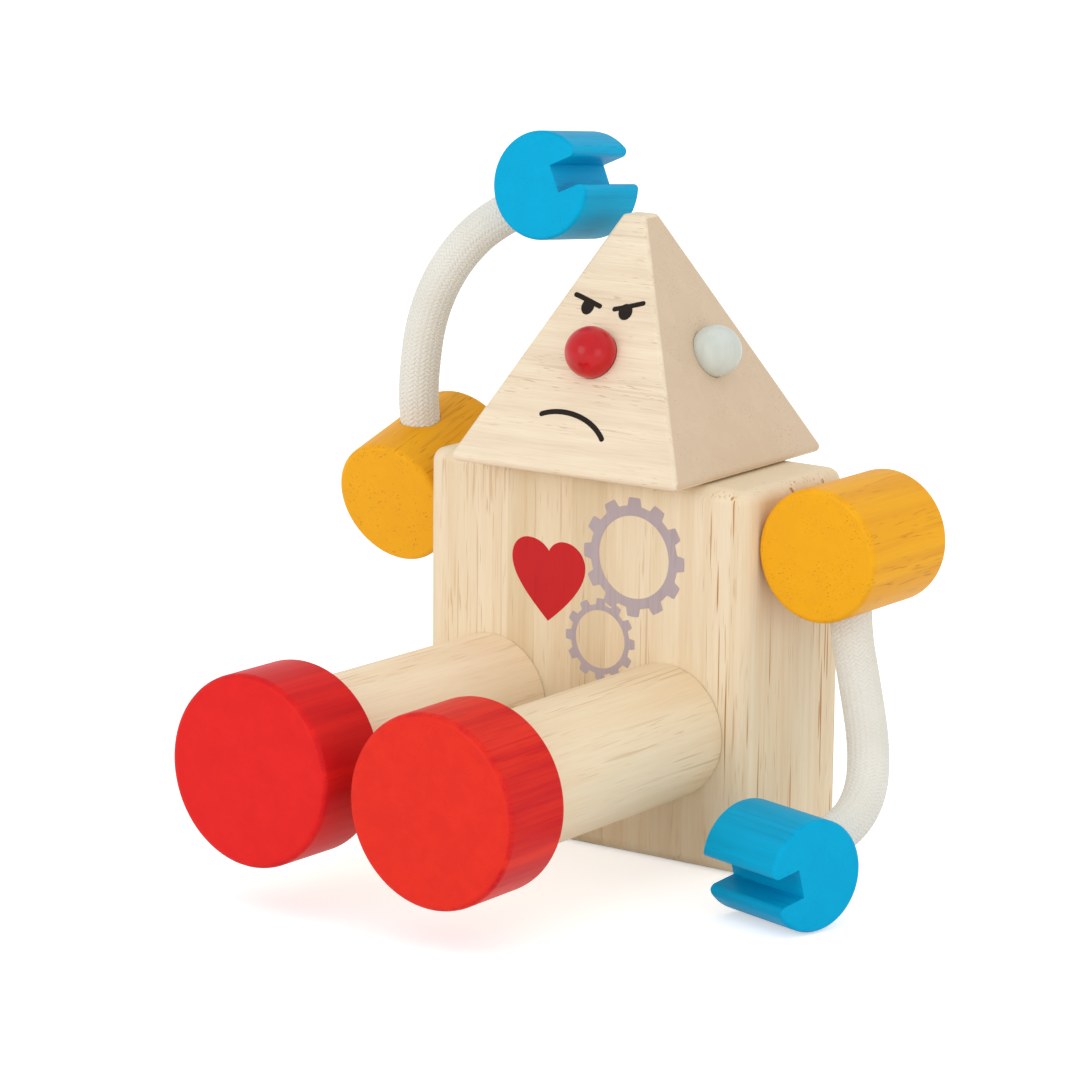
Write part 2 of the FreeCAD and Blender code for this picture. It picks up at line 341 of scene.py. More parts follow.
    @classmethod
    def bore(cls, piece: Object, radius: float, start: Vector, end: Vector,
             sides: int = BORE_SIDES) -> None:
        """Bores a round hole between two points.

        Args:
            piece: The piece that is bored.
            radius: The hole's radius.
            start: The middle of one of its ends.
            end: The middle of its other end.
            sides: How many flats go round it.
        """
        cls.combine(piece, cls.rod("bore", radius, start, end, sides), Cut.REMOVE)

    @classmethod
    def copy(cls, piece: Object, name: str) -> Object:
        """Copies a piece with its own mesh.

        Args:
            piece: The piece to copy.
            name: The copy's name.

        Returns:
            The copy.
        """
        cls.activate(piece)
        bpy.ops.object.duplicate()
        twin = bpy.context.object
        twin.name = name
        twin.data.name = name
        return twin

    @classmethod
    def shade(cls, piece: Object) -> Object:
        """Shades the curved faces smooth and keeps the flats flat.

        Args:
            piece: The piece to shade.

        Returns:
            The same piece.
        """
        cls.activate(piece)
        bpy.ops.object.shade_smooth_by_angle(angle=cls.SHARP)
        cls.modify(piece, "WEIGHTED_NORMAL", keep_sharp=True, weight=100)
        return piece


def dress(piece: Object, material: Material, body: str, slot: str, *nodes: str) -> Object:
    """Gives a finished piece its material and its place in the frame.

    Args:
        piece: The finished piece.
        material: What it is made of.
        body: The body that it rides on.
        slot: The record's material slot; not used.
        nodes: The frame's nodes that it stands for.

    Returns:
        The same piece.
    """
    piece.data.materials.clear()
    piece.data.materials.append(material)
    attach(piece, body)
    if nodes:
        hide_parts(*nodes)
        report_fit(piece, nodes[0])
    LOG.info("%-24s rides on %s", piece.name, body)
    return piece


def report_fit(piece: Object, node: str) -> None:
    """Logs how far a piece's box is from the box of the node that it stands for.

    Args:
        piece: The piece, with its object at the origin.
        node: The node that it stands for.
    """
    corners = np.array([vertex.co for vertex in piece.data.vertices])
    low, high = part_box(node)
    off = max(np.abs(corners.min(0) - low).max(), np.abs(corners.max(0) - high).max())
    LOG.info("%-24s differs from its node's box by %.2f mm", piece.name, off / MM)


# ------------------------------------------------------------------------------------ finishes

def linear(colour: Colour) -> tuple[float, float, float, float]:
    """Turns a screen colour into the linear colour that shaders take.

    Args:
        colour: Red, green and blue from 0 to 255.

    Returns:
        The linear colour with full opacity.
    """
    shares = [part / 255 for part in colour]
    parts = [s / 12.92 if s <= 0.04045 else ((s + 0.055) / 1.055) ** 2.4 for s in shares]
    return (parts[0], parts[1], parts[2], 1.0)


def darker(colour: Colour, share: float) -> Colour:
    """A wood colour at a share of its lightness, a little warmer as it darkens."""
    red, green, blue = colour
    return (round(red * share ** 0.8), round(green * share), round(blue * share ** 1.6))


class Shader:
    """A material's node tree with one Principled shader, and short ways to add to it."""

    def __init__(self, name: str) -> None:
        """Makes the material.

        Args:
            name: The material's name.
        """
        self.material = bpy.data.materials.new(name)
        self.material.use_nodes = True
        self.tree = self.material.node_tree
        self.surface = self.tree.nodes["Principled BSDF"]

    def add(self, kind: str, **settings: object) -> Node:
        """Adds a node and sets its properties.

        Args:
            kind: The node's type.
            settings: Its properties by name.

        Returns:
            The node.
        """
        node = self.tree.nodes.new(kind)
        for name, value in settings.items():
            setattr(node, name, value)
        return node

    def feed(self, socket: NodeSocket, value: object) -> None:
        """Links an output to an input, or sets the input to a constant.

        Args:
            socket: The input.
            value: An output socket or a constant.
        """
        if isinstance(value, NodeSocket):
            self.tree.links.new(value, socket)
        else:
            socket.default_value = value

    def constant(self, name: str, value: object) -> None:
        """Sets one of the shader's own sockets."""
        self.surface.inputs[name].default_value = value

    def math(self, operation: str, first: object, second: object = 0.0) -> NodeSocket:
        """Adds a Math node.

        Args:
            operation: What it works out.
            first: Its first value.
            second: Its second value.

        Returns:
            The result.
        """
        node = self.add("ShaderNodeMath", operation=operation)
        self.feed(node.inputs[0], first)
        self.feed(node.inputs[1], second)
        return node.outputs[0]

    def step(self, value: NodeSocket, low: float, high: float) -> NodeSocket:
        """Maps a value smoothly to 0 below one limit and 1 above the other.

        Args:
            value: The value.
            low: Where the result is 0.
            high: Where the result is 1.

        Returns:
            The result.
        """
        node = self.add("ShaderNodeMapRange", interpolation_type="SMOOTHSTEP")
        self.feed(node.inputs["Value"], value)
        self.feed(node.inputs["From Min"], low)
        self.feed(node.inputs["From Max"], high)
        return node.outputs["Result"]

    def mix(self, factor: object, first: object, second: object) -> NodeSocket:
        """Mixes two colours.

        Args:
            factor: The share of the second colour.
            first: The first colour.
            second: The second colour.

        Returns:
            The mixed colour.
        """
        node = self.add("ShaderNodeMix", data_type="RGBA")
        self.feed(node.inputs[0], factor)
        self.feed(node.inputs[6], first)
        self.feed(node.inputs[7], second)
        return node.outputs[2]

    def stretched(self, source: NodeSocket, across: float, along: float) -> NodeSocket:
        """Scales grain coordinates so that a unit pattern gets a real size.

        Args:
            source: Coordinates with the grain along Z.
            across: The pattern's size across the grain.
            along: The pattern's size along the grain.

        Returns:
            The scaled coordinates.
        """
        node = self.add("ShaderNodeMapping")
        self.feed(node.inputs["Vector"], source)
        node.inputs["Scale"].default_value = (1 / across, 1 / across, 1 / along)
        return node.outputs["Vector"]

    def noise(self, source: NodeSocket, detail: float = 2.0, distortion: float = 0.0) -> NodeSocket:
        """Adds a noise pattern of unit size.

        Args:
            source: Its coordinates.
            detail: How many finer layers it has.
            distortion: How far it is twisted.

        Returns:
            The noise, about 0.5.
        """
        node = self.add("ShaderNodeTexNoise")
        self.feed(node.inputs["Vector"], source)
        node.inputs["Scale"].default_value = 1.0
        node.inputs["Detail"].default_value = detail
        node.inputs["Distortion"].default_value = distortion
        return node.outputs[0]

    def facing(self, direction: Vector) -> NodeSocket:
        """How squarely the piece's own surface faces along a direction, either way.

        Args:
            direction: The direction in the piece.

        Returns:
            1 where the surface faces along it and 0 where it lies along it.
        """
        node = self.add("ShaderNodeVectorMath", operation="DOT_PRODUCT")
        self.feed(node.inputs[0], self.add("ShaderNodeTexCoord").outputs["Normal"])
        self.feed(node.inputs[1], direction)
        return self.math("ABSOLUTE", node.outputs["Value"])

    def bump(self, height: NodeSocket, depth: float, strength: float = 1.0) -> None:
        """Gives the surface a relief.

        Args:
            height: The relief, from 0 to 1.
            depth: The height of 1, in metres.
            strength: How much of it is used.
        """
        node = self.add("ShaderNodeBump")
        node.inputs["Strength"].default_value = strength
        node.inputs["Distance"].default_value = depth
        self.feed(node.inputs["Height"], height)
        self.feed(self.surface.inputs["Normal"], node.outputs["Normal"])


@dataclass(frozen=True)
class Timber:
    """Rubberwood, bare or stained, whose grain runs through the solid piece.

    Along the grain the open pores show as dashes and, where the cut runs into a vessel, as long
    dark streaks. Across the grain they show as specks.
    """

    name: str
    light: Colour
    dark: Colour
    pore: Colour
    bands: float = 0.5
    lines: float = 0.25
    fibres: float = 0.3
    pores: float = 0.5
    streaks: float = 0.6
    roughness: float = 0.55
    specular: float = 0.2
    coat: float = 0.0
    band_size: tuple[float, float] = (4.5 * MM, 90 * MM)
    line_size: tuple[float, float] = (1.3 * MM, 130 * MM)
    fibre_size: tuple[float, float] = (0.30 * MM, 9 * MM)
    pore_size: tuple[float, float] = (0.36 * MM, 7 * MM)
    streak_size: tuple[float, float] = (0.62 * MM, 22 * MM)
    cluster_size: tuple[float, float] = (5.0 * MM, 70 * MM)
    band_step: tuple[float, float] = (0.34, 0.68)
    line_step: tuple[float, float] = (0.54, 0.70)
    fibre_step: tuple[float, float] = (0.30, 0.75)
    pore_step: tuple[float, float] = (0.67, 0.80)
    pore_patches: tuple[float, float] = (0.34, 0.66)
    streak_step: tuple[float, float] = (0.65, 0.72)
    streak_patches: tuple[float, float] = (0.50, 0.60)
    end_step: tuple[float, float] = (0.75, 0.95)
    end_evenness: float = 0.75
    # How far faces cut across the grain go to the dark colour: end grain, and on the head painted
    # shade on its sides too.
    end_grain_and_shade_share: float = 0.3
    coat_roughness: float = 0.28
    relief: float = 0.02 * MM
    relief_strength: float = 0.6
    fibre_relief: float = 0.25

    def grain(self, shader: Shader, along: Vector, shift: Vector) -> NodeSocket:
        """Turns object coordinates so that the grain runs along Z.

        Args:
            shader: The material's tree.
            along: The grain's direction in the piece.
            shift: Which part of the timber the piece is cut from.

        Returns:
            The grain's coordinates.
        """
        source = shader.add("ShaderNodeTexCoord").outputs["Object"]
        node = shader.add("ShaderNodeMapping")
        shader.feed(node.inputs["Vector"], source)
        node.inputs["Rotation"].default_value = along.rotation_difference(UP).to_euler()
        node.inputs["Location"].default_value = shift
        return node.outputs["Vector"]

    def pore_mask(self, shader: Shader, grain: NodeSocket, cut: NodeSocket) -> NodeSocket:
        """Adds the open pores, which crowd together in clusters.

        Args:
            shader: The material's tree.
            grain: The grain's coordinates.
            cut: 1 where the surface cuts across the grain.

        Returns:
            The share of the pores' colour, and so their depth.
        """
        patches = shader.noise(shader.stretched(grain, *self.cluster_size), 1.0)
        fine = shader.noise(shader.stretched(grain, *self.pore_size), 0.0)
        fine = shader.step(fine, *self.pore_step)
        fine = shader.math("MULTIPLY", fine, shader.step(patches, *self.pore_patches))
        bold = shader.noise(shader.stretched(grain, *self.streak_size), 0.0)
        bold = shader.step(bold, *self.streak_step)
        bold = shader.math("MULTIPLY", bold, shader.step(patches, *self.streak_patches))
        bold = shader.math("MULTIPLY", bold, shader.math("SUBTRACT", 1.0, cut))
        fine = shader.math("MULTIPLY", fine, self.pores)
        return shader.math("MAXIMUM", fine, shader.math("MULTIPLY", bold, self.streaks))

    def material(self, along: Vector, shift: Vector) -> Material:
        """Makes the finish for one piece.

        Args:
            along: The grain's direction in the piece.
            shift: Which part of the timber the piece is cut from.

        Returns:
            The material.
        """
        shader = Shader(self.name)
        grain = self.grain(shader, along, shift)
        cut = shader.step(shader.facing(along), *self.end_step)
        bands = shader.noise(shader.stretched(grain, *self.band_size), 2.0, 0.4)
        lines = shader.noise(shader.stretched(grain, *self.line_size), 1.0, 0.2)
        fibres = shader.noise(shader.stretched(grain, *self.fibre_size), 2.0)
        tone = shader.math("MULTIPLY", shader.step(bands, *self.band_step), self.bands)
        streak = shader.math("MULTIPLY", shader.step(lines, *self.line_step), self.lines)
        fibre = shader.math("MULTIPLY", shader.step(fibres, *self.fibre_step), self.fibres)
        share = shader.math("ADD", shader.math("ADD", tone, streak), fibre)
        even = shader.math("MULTIPLY", cut, self.end_evenness)
        share = shader.math("MULTIPLY", share, shader.math("SUBTRACT", 1.0, even))
        # Cut faces darken: real end grain, and on the head, whose cut faces are its two sides,
        # painted shade as well.
        share = shader.math("ADD", share, shader.math("MULTIPLY", cut, self.end_grain_and_shade_share))
        colour = shader.mix(share, linear(self.light), linear(self.dark))
        pores = self.pore_mask(shader, grain, cut)
        colour = shader.mix(pores, colour, linear(self.pore))
        shader.feed(shader.surface.inputs["Base Color"], colour)
        shader.constant("Roughness", self.roughness)
        shader.constant("Specular IOR Level", self.specular)
        shader.constant("Coat Weight", self.coat)
        shader.constant("Coat Roughness", self.coat_roughness)
        raised = shader.math("MULTIPLY", fibres, self.fibre_relief)
        shader.bump(shader.math("SUBTRACT", raised, pores), self.relief, self.relief_strength)
        return shader.material


@dataclass(frozen=True)
class Lacquer:
    """Glossy sprayed lacquer on a turned ball."""

    name: str
    colour: Colour
    shade: Colour
    roughness: float = 0.3
    specular: float = 0.18
    coat: float = 0.08
    coat_roughness: float = 0.12
    cloud_size: tuple[float, float] = (2.2 * MM, 6 * MM)
    cloud_step: tuple[float, float] = (0.3, 0.8)
    peel_size: float = 0.7 * MM
    peel_relief: float = 0.02 * MM
    peel_strength: float = 0.5

    def material(self) -> Material:
        """Makes the finish, slightly uneven where the wood's grain telegraphs through.

        Returns:
            The material.
        """
        shader = Shader(self.name)
        source = shader.add("ShaderNodeTexCoord").outputs["Object"]
        clouds = shader.noise(shader.stretched(source, *self.cloud_size), 3.0)
        colour = shader.mix(shader.step(clouds, *self.cloud_step), linear(self.colour),
                            linear(self.shade))
        shader.feed(shader.surface.inputs["Base Color"], colour)
        shader.constant("Roughness", self.roughness)
        shader.constant("Specular IOR Level", self.specular)
        shader.constant("Coat Weight", self.coat)
        shader.constant("Coat Roughness", self.coat_roughness)
        peel = shader.noise(shader.stretched(source, self.peel_size, self.peel_size), 1.0)
        shader.bump(peel, self.peel_relief, self.peel_strength)
        return shader.material


@dataclass(frozen=True)
class Yarn:
    """The rope's yarn: soft off-white filaments laid along each strand."""

    name: str = "rope_yarn"
    light: Colour = (232, 231, 223)
    dark: Colour = (216, 212, 199)
    filament: float = 0.16
    filament_pitch: float = 25.0 * MM
    filament_step: tuple[float, float] = (0.3, 0.8)
    filament_share: float = 0.6
    soiling_size: float = 5 * MM
    soiling_share: float = 0.25
    roughness: float = 0.85
    specular: float = 0.2
    sheen: float = 0.25
    sheen_roughness: float = 0.5
    relief: float = 0.06 * MM
    relief_strength: float = 0.7

    def material(self) -> Material:
        """Makes the finish from the strands' own coordinates: U along and V round a strand.

        Returns:
            The material.
        """
        shader = Shader(self.name)
        source = shader.add("ShaderNodeTexCoord").outputs["UV"]
        stretch = shader.add("ShaderNodeMapping")
        shader.feed(stretch.inputs["Vector"], source)
        stretch.inputs["Scale"].default_value = (1 / self.filament_pitch, 1 / self.filament, 1.0)
        filaments = shader.noise(stretch.outputs["Vector"], 2.0, 0.3)
        place = shader.add("ShaderNodeTexCoord").outputs["Object"]
        soiling = shader.noise(
            shader.stretched(place, self.soiling_size, self.soiling_size), 2.0)
        share = shader.math("MULTIPLY", shader.step(filaments, *self.filament_step),
                            self.filament_share)
        share = shader.math("ADD", share, shader.math("MULTIPLY", soiling, self.soiling_share))
        colour = shader.mix(share, linear(self.light), linear(self.dark))
        shader.feed(shader.surface.inputs["Base Color"], colour)
        shader.constant("Roughness", self.roughness)
        shader.constant("Specular IOR Level", self.specular)
        shader.constant("Sheen Weight", self.sheen)
        shader.constant("Sheen Roughness", self.sheen_roughness)
        shader.bump(filaments, self.relief, self.relief_strength)
        return shader.material


@dataclass(frozen=True)
class Steel:
    """Plain drawn steel of the brads."""

    name: str = "brad_steel"
    dull: Colour = (176, 176, 174)
    bright: Colour = (206, 206, 204)
    mark_size: float = 0.2 * MM
    roughness: float = 0.25
    roughness_spread: float = 0.2

    def material(self) -> Material:
        """Makes the finish, with fine drawing marks in its gloss.

        Returns:
            The material.
        """
        shader = Shader(self.name)
        source = shader.add("ShaderNodeTexCoord").outputs["Object"]
        marks = shader.noise(shader.stretched(source, self.mark_size, self.mark_size), 3.0)
        shader.feed(shader.surface.inputs["Base Color"],
                    shader.mix(marks, linear(self.dull), linear(self.bright)))
        shader.constant("Metallic", 1.0)
        spread = shader.math("MULTIPLY", marks, self.roughness_spread)
        shader.feed(shader.surface.inputs["Roughness"],
                    shader.math("ADD", spread, self.roughness))
        return shader.material


BARE = Timber("bare_wood", (238, 223, 195), (226, 202, 165), (184, 134, 70), lines=0.2, pores=0.45)
# The head's dark colour and end share of 1.1 darken its two sides, its cut faces: partly end grain,
# partly painted shade.
HEAD_WOOD = Timber("bare_wood_head", (240, 225, 198), (214, 192, 165), (172, 130, 94), bands=0.35,
                   lines=0.15, streaks=0.2, pores=0.5, pore_size=(0.30 * MM, 3.0 * MM),
                   end_grain_and_shade_share=1.1)
YELLOW = Timber("yellow_stain", (242, 174, 26), (224, 150, 30), (182, 112, 24), bands=0.5,
                lines=0.2, fibres=0.2, pores=0.7, streaks=0.35, roughness=0.45, specular=0.08,
                coat=0.04, pore_size=(0.40 * MM, 5 * MM), streak_size=(0.55 * MM, 11 * MM),
                end_grain_and_shade_share=0.1)
RED = Timber("red_stain", (226, 38, 34), (196, 22, 30), (150, 18, 22), bands=0.6, lines=0.2,
             fibres=0.25, pores=0.25, streaks=0.15, roughness=0.42, specular=0.06, coat=0.04,
             relief=0.01 * MM, end_grain_and_shade_share=0.05)
ORANGE_RED = replace(RED, name="orange_red_stain", light=(229, 50, 34), dark=(196, 22, 32))
BLUE = Timber("blue_stain", (0, 170, 216), (0, 142, 188), (0, 108, 152), bands=0.45, lines=0.2,
              fibres=0.2, pores=0.4, streaks=0.2, roughness=0.45, specular=0.05, coat=0.03,
              end_grain_and_shade_share=0.05)
HEART_PAINT = Timber("heart_paint", (201, 40, 42), (190, 36, 40), (148, 26, 30), bands=0.3,
                     lines=0.2, fibres=0.2, specular=0.1)
GEAR_PAINT = Timber("gear_paint", (184, 171, 175), (174, 159, 163), (156, 134, 132), bands=0.3,
                    lines=0.1, pores=0.3, streaks=0.2, specular=0.1)
FACE_PAINT = Timber("face_paint", (42, 36, 33), (48, 41, 37), (60, 50, 42), bands=0.3,
                    lines=0.2, specular=0.05)
RED_BALL = Lacquer("nose_lacquer", (196, 12, 22), (184, 8, 20), coat=0.3)
PALE_BALL = Lacquer("ear_lacquer", (209, 215, 208), (199, 205, 196), roughness=0.4, coat=0.05)


# ------------------------------------------------------------------------------------- the torso

@dataclass
class Torso:
    """The block of six upright staves that the robot sits on, bored for its pegs and dowels."""

    arms: "tuple[Arm, Arm]"
    legs: "tuple[Leg, Leg]"
    neck: Vector
    width: float = 80.0 * MM
    depth: float = 36.7 * MM
    height: float = 79.5 * MM
    rounding: float = 3.0 * MM
    segments: int = 8
    glue_lines: tuple[float, ...] = (-19.2 * MM, -12.3 * MM, -2.9 * MM, 5.7 * MM, 22.7 * MM)
    seam: float = 0.06 * MM
    peg_bore_radius: float = 6.05 * MM
    peg_bore_depth: float = 20.8 * MM
    axle_bore_radius: float = 4.08 * MM
    axle_bore_depth: float = 16.3 * MM
    tones: tuple[float, ...] = (1.0, 0.955, 0.985, 0.93, 0.99, 1.0)
    streaks: tuple[float, ...] = (0.35, 0.3, 0.3, 0.45, 0.35, 0.95)

    def whole_block(self) -> Object:
        """Models the rounded block before it is divided.

        Returns:
            The block, bored for the neck's peg, the axles and the legs' dowels.
        """
        half = Vector((self.width / 2, self.depth / 2, 0))
        block = Bench.block("torso_block", -half, half + UP * self.height)
        Bench.round_edges(block, self.rounding, self.segments, Bench.is_crease)
        middle = Vector((self.neck.x, self.neck.y, self.height))
        Bench.bore(block, self.peg_bore_radius, middle - UP * self.peg_bore_depth,
                   middle + UP * Bench.OVERRUN)
        for arm, leg in zip(self.arms, self.legs):
            outward = OUTWARD * arm.side.value
            mouth = Vector((arm.side.value * self.width / 2, arm.centre.y, arm.centre.z))
            Bench.bore(block, self.axle_bore_radius, mouth - outward * self.axle_bore_depth,
                       mouth + outward * Bench.OVERRUN)
            leg.bore_dowel(block, leg.root, -leg.forward, leg.dowel_depth)
        return block

    def stave(self, block: Object, number: int, low: float, high: float) -> Object:
        """Cuts one stave out of the block, its glue edges barely broken.

        Args:
            block: The whole block.
            number: The stave's number from -X.
            low: The stave's lower X.
            high: The stave's higher X.

        Returns:
            The stave.
        """
        stave = Bench.copy(block, "stave_%d" % number)
        cuts = []
        if low > -self.width / 2:
            Bench.slice_off(stave, Vector((low, 0, 0)), -OUTWARD)
            cuts.append(low)
        if high < self.width / 2:
            Bench.slice_off(stave, Vector((high, 0, 0)), OUTWARD)
            cuts.append(high)

        def is_glue_edge(edge: bmesh.types.BMEdge) -> bool:
            """Says whether an edge lies in a glued face."""
            return any(all(abs(end.co.x - cut) < 1e-6 for end in edge.verts) for cut in cuts)

        Bench.round_edges(stave, self.seam, 1, is_glue_edge)
        return Bench.shade(stave)

    def build(self) -> None:
        """Builds and dresses the six staves."""
        block = self.whole_block()
        limits = (-self.width / 2,) + self.glue_lines + (self.width / 2,)
        for number, (low, high) in enumerate(zip(limits, limits[1:]), start=1):
            stave = self.stave(block, number, low, high)
            tone = self.tones[number - 1]
            wood = replace(BARE, name="bare_wood_stave_%d" % number,
                           light=darker(BARE.light, tone), dark=darker(BARE.dark, tone),
                           streaks=self.streaks[number - 1])
            shift = Vector((0.031 * number, 0.017 * number, 0.11 * number))
            dress(stave, wood.material(UP, shift), "torso", "natural_wood",
                  "torso_stave_%d" % number)
        bpy.data.objects.remove(block, do_unlink=True)


# -------------------------------------------------------------------------------------- the head

@dataclass
class Head:
    """The pyramid head with its ball nose and ears, turned a little on its peg."""

    neck: Vector
    base: float = 56.9 * MM
    tip: float = 5.4 * MM
    height: float = 50.6 * MM
    floor: float = 79.8 * MM
    rounding: float = 1.2 * MM
    turn: float = math.radians(0.9)
    ball_radius: float = 5.35 * MM
    ball_proud: float = 1.7 * MM
    recess_gap: float = 0.08 * MM
    tenon_radius: float = 2.5 * MM
    tenon_length: float = 6.0 * MM
    tenon_break: float = 0.4 * MM
    hole_gap: float = 0.05 * MM
    hole_room: float = 0.8 * MM
    recess_rise: float = 5.0 * MM
    peg_hole_radius: float = 6.08 * MM
    peg_hole_depth: float = 14.8 * MM
    nose_height: float = 23.5 * MM
    nose_aside: float = 0.3 * MM
    ear_height: float = 23.1 * MM
    left_ear_back: float = 3.8 * MM
    right_ear_back: float = 1.1 * MM

    @property
    def lean(self) -> float:
        """The angle of the faces from upright."""
        return math.atan2((self.base - self.tip) / 2, self.height)

    def stand(self, quarter: int = 0) -> Matrix:
        """The head's place on its peg, turned on by a number of quarter turns."""
        spot = Matrix.Translation((self.neck.x, self.neck.y, 0))
        return spot @ Matrix.Rotation(self.turn + quarter * math.pi / 2, 4, "Z")

    def face(self, quarter: int) -> Matrix:
        """The frame of one face: X across, Y up the slope, Z outwards, at the base's middle.

        Args:
            quarter: 0 for the front face and one more for each quarter turn from above.

        Returns:
            The frame, turned with the head.
        """
        place = Matrix.Translation((0, -self.base / 2, self.floor))
        return self.stand(quarter) @ place @ Matrix.Rotation(math.pi / 2 - self.lean, 4, "X")

    def on_face(self, quarter: int, aside: float, height: float) -> Vector:
        """A point on a face at a height over the base."""
        return self.face(quarter) @ Vector((aside, height / math.cos(self.lean), 0))

    def corner_ball(self, across: float, deep: float, top: bool) -> Object:
        """Adds the ball that rounds one corner, touching the three faces that meet there.

        Args:
            across: The corner's side in X, -1 or 1.
            deep: The corner's side in Y, -1 or 1.
            top: Whether the corner is at the tip.

        Returns:
            The ball.
        """
        level = self.height - self.rounding if top else self.rounding
        half = self.base / 2 - level * math.tan(self.lean) - self.rounding / math.cos(self.lean)
        centre = Vector((across * half, deep * half, self.floor + level))
        return Bench.ball("corner", self.rounding, centre, UP, 48)

    def shell(self) -> Object:
        """Models the pyramid as the skin stretched over eight corner balls.

        Returns:
            The head, solid and in its place.
        """
        balls = [self.corner_ball(across, deep, top)
                 for top in (False, True) for across in (-1, 1) for deep in (-1, 1)]
        Bench.activate(balls[0])
        for ball in balls:
            ball.select_set(True)
        bpy.ops.object.join()
        head = Bench.named("head")
        with Bench.editing(head, Pick.FACE):
            bpy.ops.mesh.select_all(action="SELECT")
            bpy.ops.mesh.convex_hull()
            bpy.ops.mesh.select_all(action="SELECT")
            bpy.ops.mesh.dissolve_limited(angle_limit=math.radians(0.2))
        return Bench.place(head, self.stand())

    def seat_depth(self) -> float:
        """How deep a ball's recess is."""
        return self.ball_radius - self.ball_proud

    def bore_seat(self, head: Object, place: Vector, outward: Vector) -> None:
        """Bores a ball's recess and the hole for its tenon.

        Args:
            head: The head.
            place: The middle of the recess on the face.
            outward: The face's normal.
        """
        floor = place - outward * self.seat_depth()
        radius = math.sqrt(self.ball_radius ** 2 - self.ball_proud ** 2) + self.recess_gap
        Bench.bore(head, radius, floor, place + outward * self.recess_rise, Bench.ROD_SIDES)
        Bench.bore(head, self.tenon_radius + self.hole_gap,
                   floor - outward * (self.tenon_length + self.hole_room),
                   floor + outward * Bench.OVERRUN, Bench.ROD_SIDES)

    def knob(self, name: str, place: Vector, outward: Vector) -> Object:
        """Models a ball with its tenon.

        Args:
            name: The piece's name.
            place: The middle of its recess on the face.
            outward: The face's normal.

        Returns:
            The knob.
        """
        ball = Bench.ball(name, self.ball_radius, place + outward * self.ball_proud, outward)
        foot = place - outward * (self.seat_depth() + self.tenon_length)
        tenon = Bench.rod("tenon", self.tenon_radius, foot, place, 48)
        Bench.round_edges(tenon, self.tenon_break, 2, Bench.is_crease)
        Bench.combine(ball, tenon, Cut.ADD)
        return Bench.shade(ball)

    def build(self) -> None:
        """Builds and dresses the head, the nose and the ears."""
        head = self.shell()
        seats = {
            "nose_ball": (0, self.nose_aside, self.nose_height),
            "ear_right": (1, self.right_ear_back, self.ear_height),
            "ear_left": (3, -self.left_ear_back, self.ear_height),
        }
        for name, (quarter, aside, height) in seats.items():
            place = self.on_face(quarter, aside, height)
            outward = self.face(quarter).to_3x3() @ UP
            self.bore_seat(head, place, outward)
            knob = self.knob(name.replace("_ball", "") + "_knob", place, outward)
            is_nose = quarter == 0
            lacquer = RED_BALL if is_nose else PALE_BALL
            dress(knob, lacquer.material(), "head",
                  "red_lacquer" if is_nose else "pale_lacquer", name)
        middle = Vector((self.neck.x, self.neck.y, self.floor))
        Bench.bore(head, self.peg_hole_radius, middle - UP * Bench.OVERRUN,
                   middle + UP * self.peg_hole_depth, Bench.ROD_SIDES)
        Bench.shade(head)
        along = Matrix.Rotation(self.turn, 3, "Z") @ OUTWARD
        dress(head, HEAD_WOOD.material(along, Vector((0.21, 0.12, 0.35))), "head",
              "natural_wood", "head_block")


# --------------------------------------------------------------------------------- legs and feet

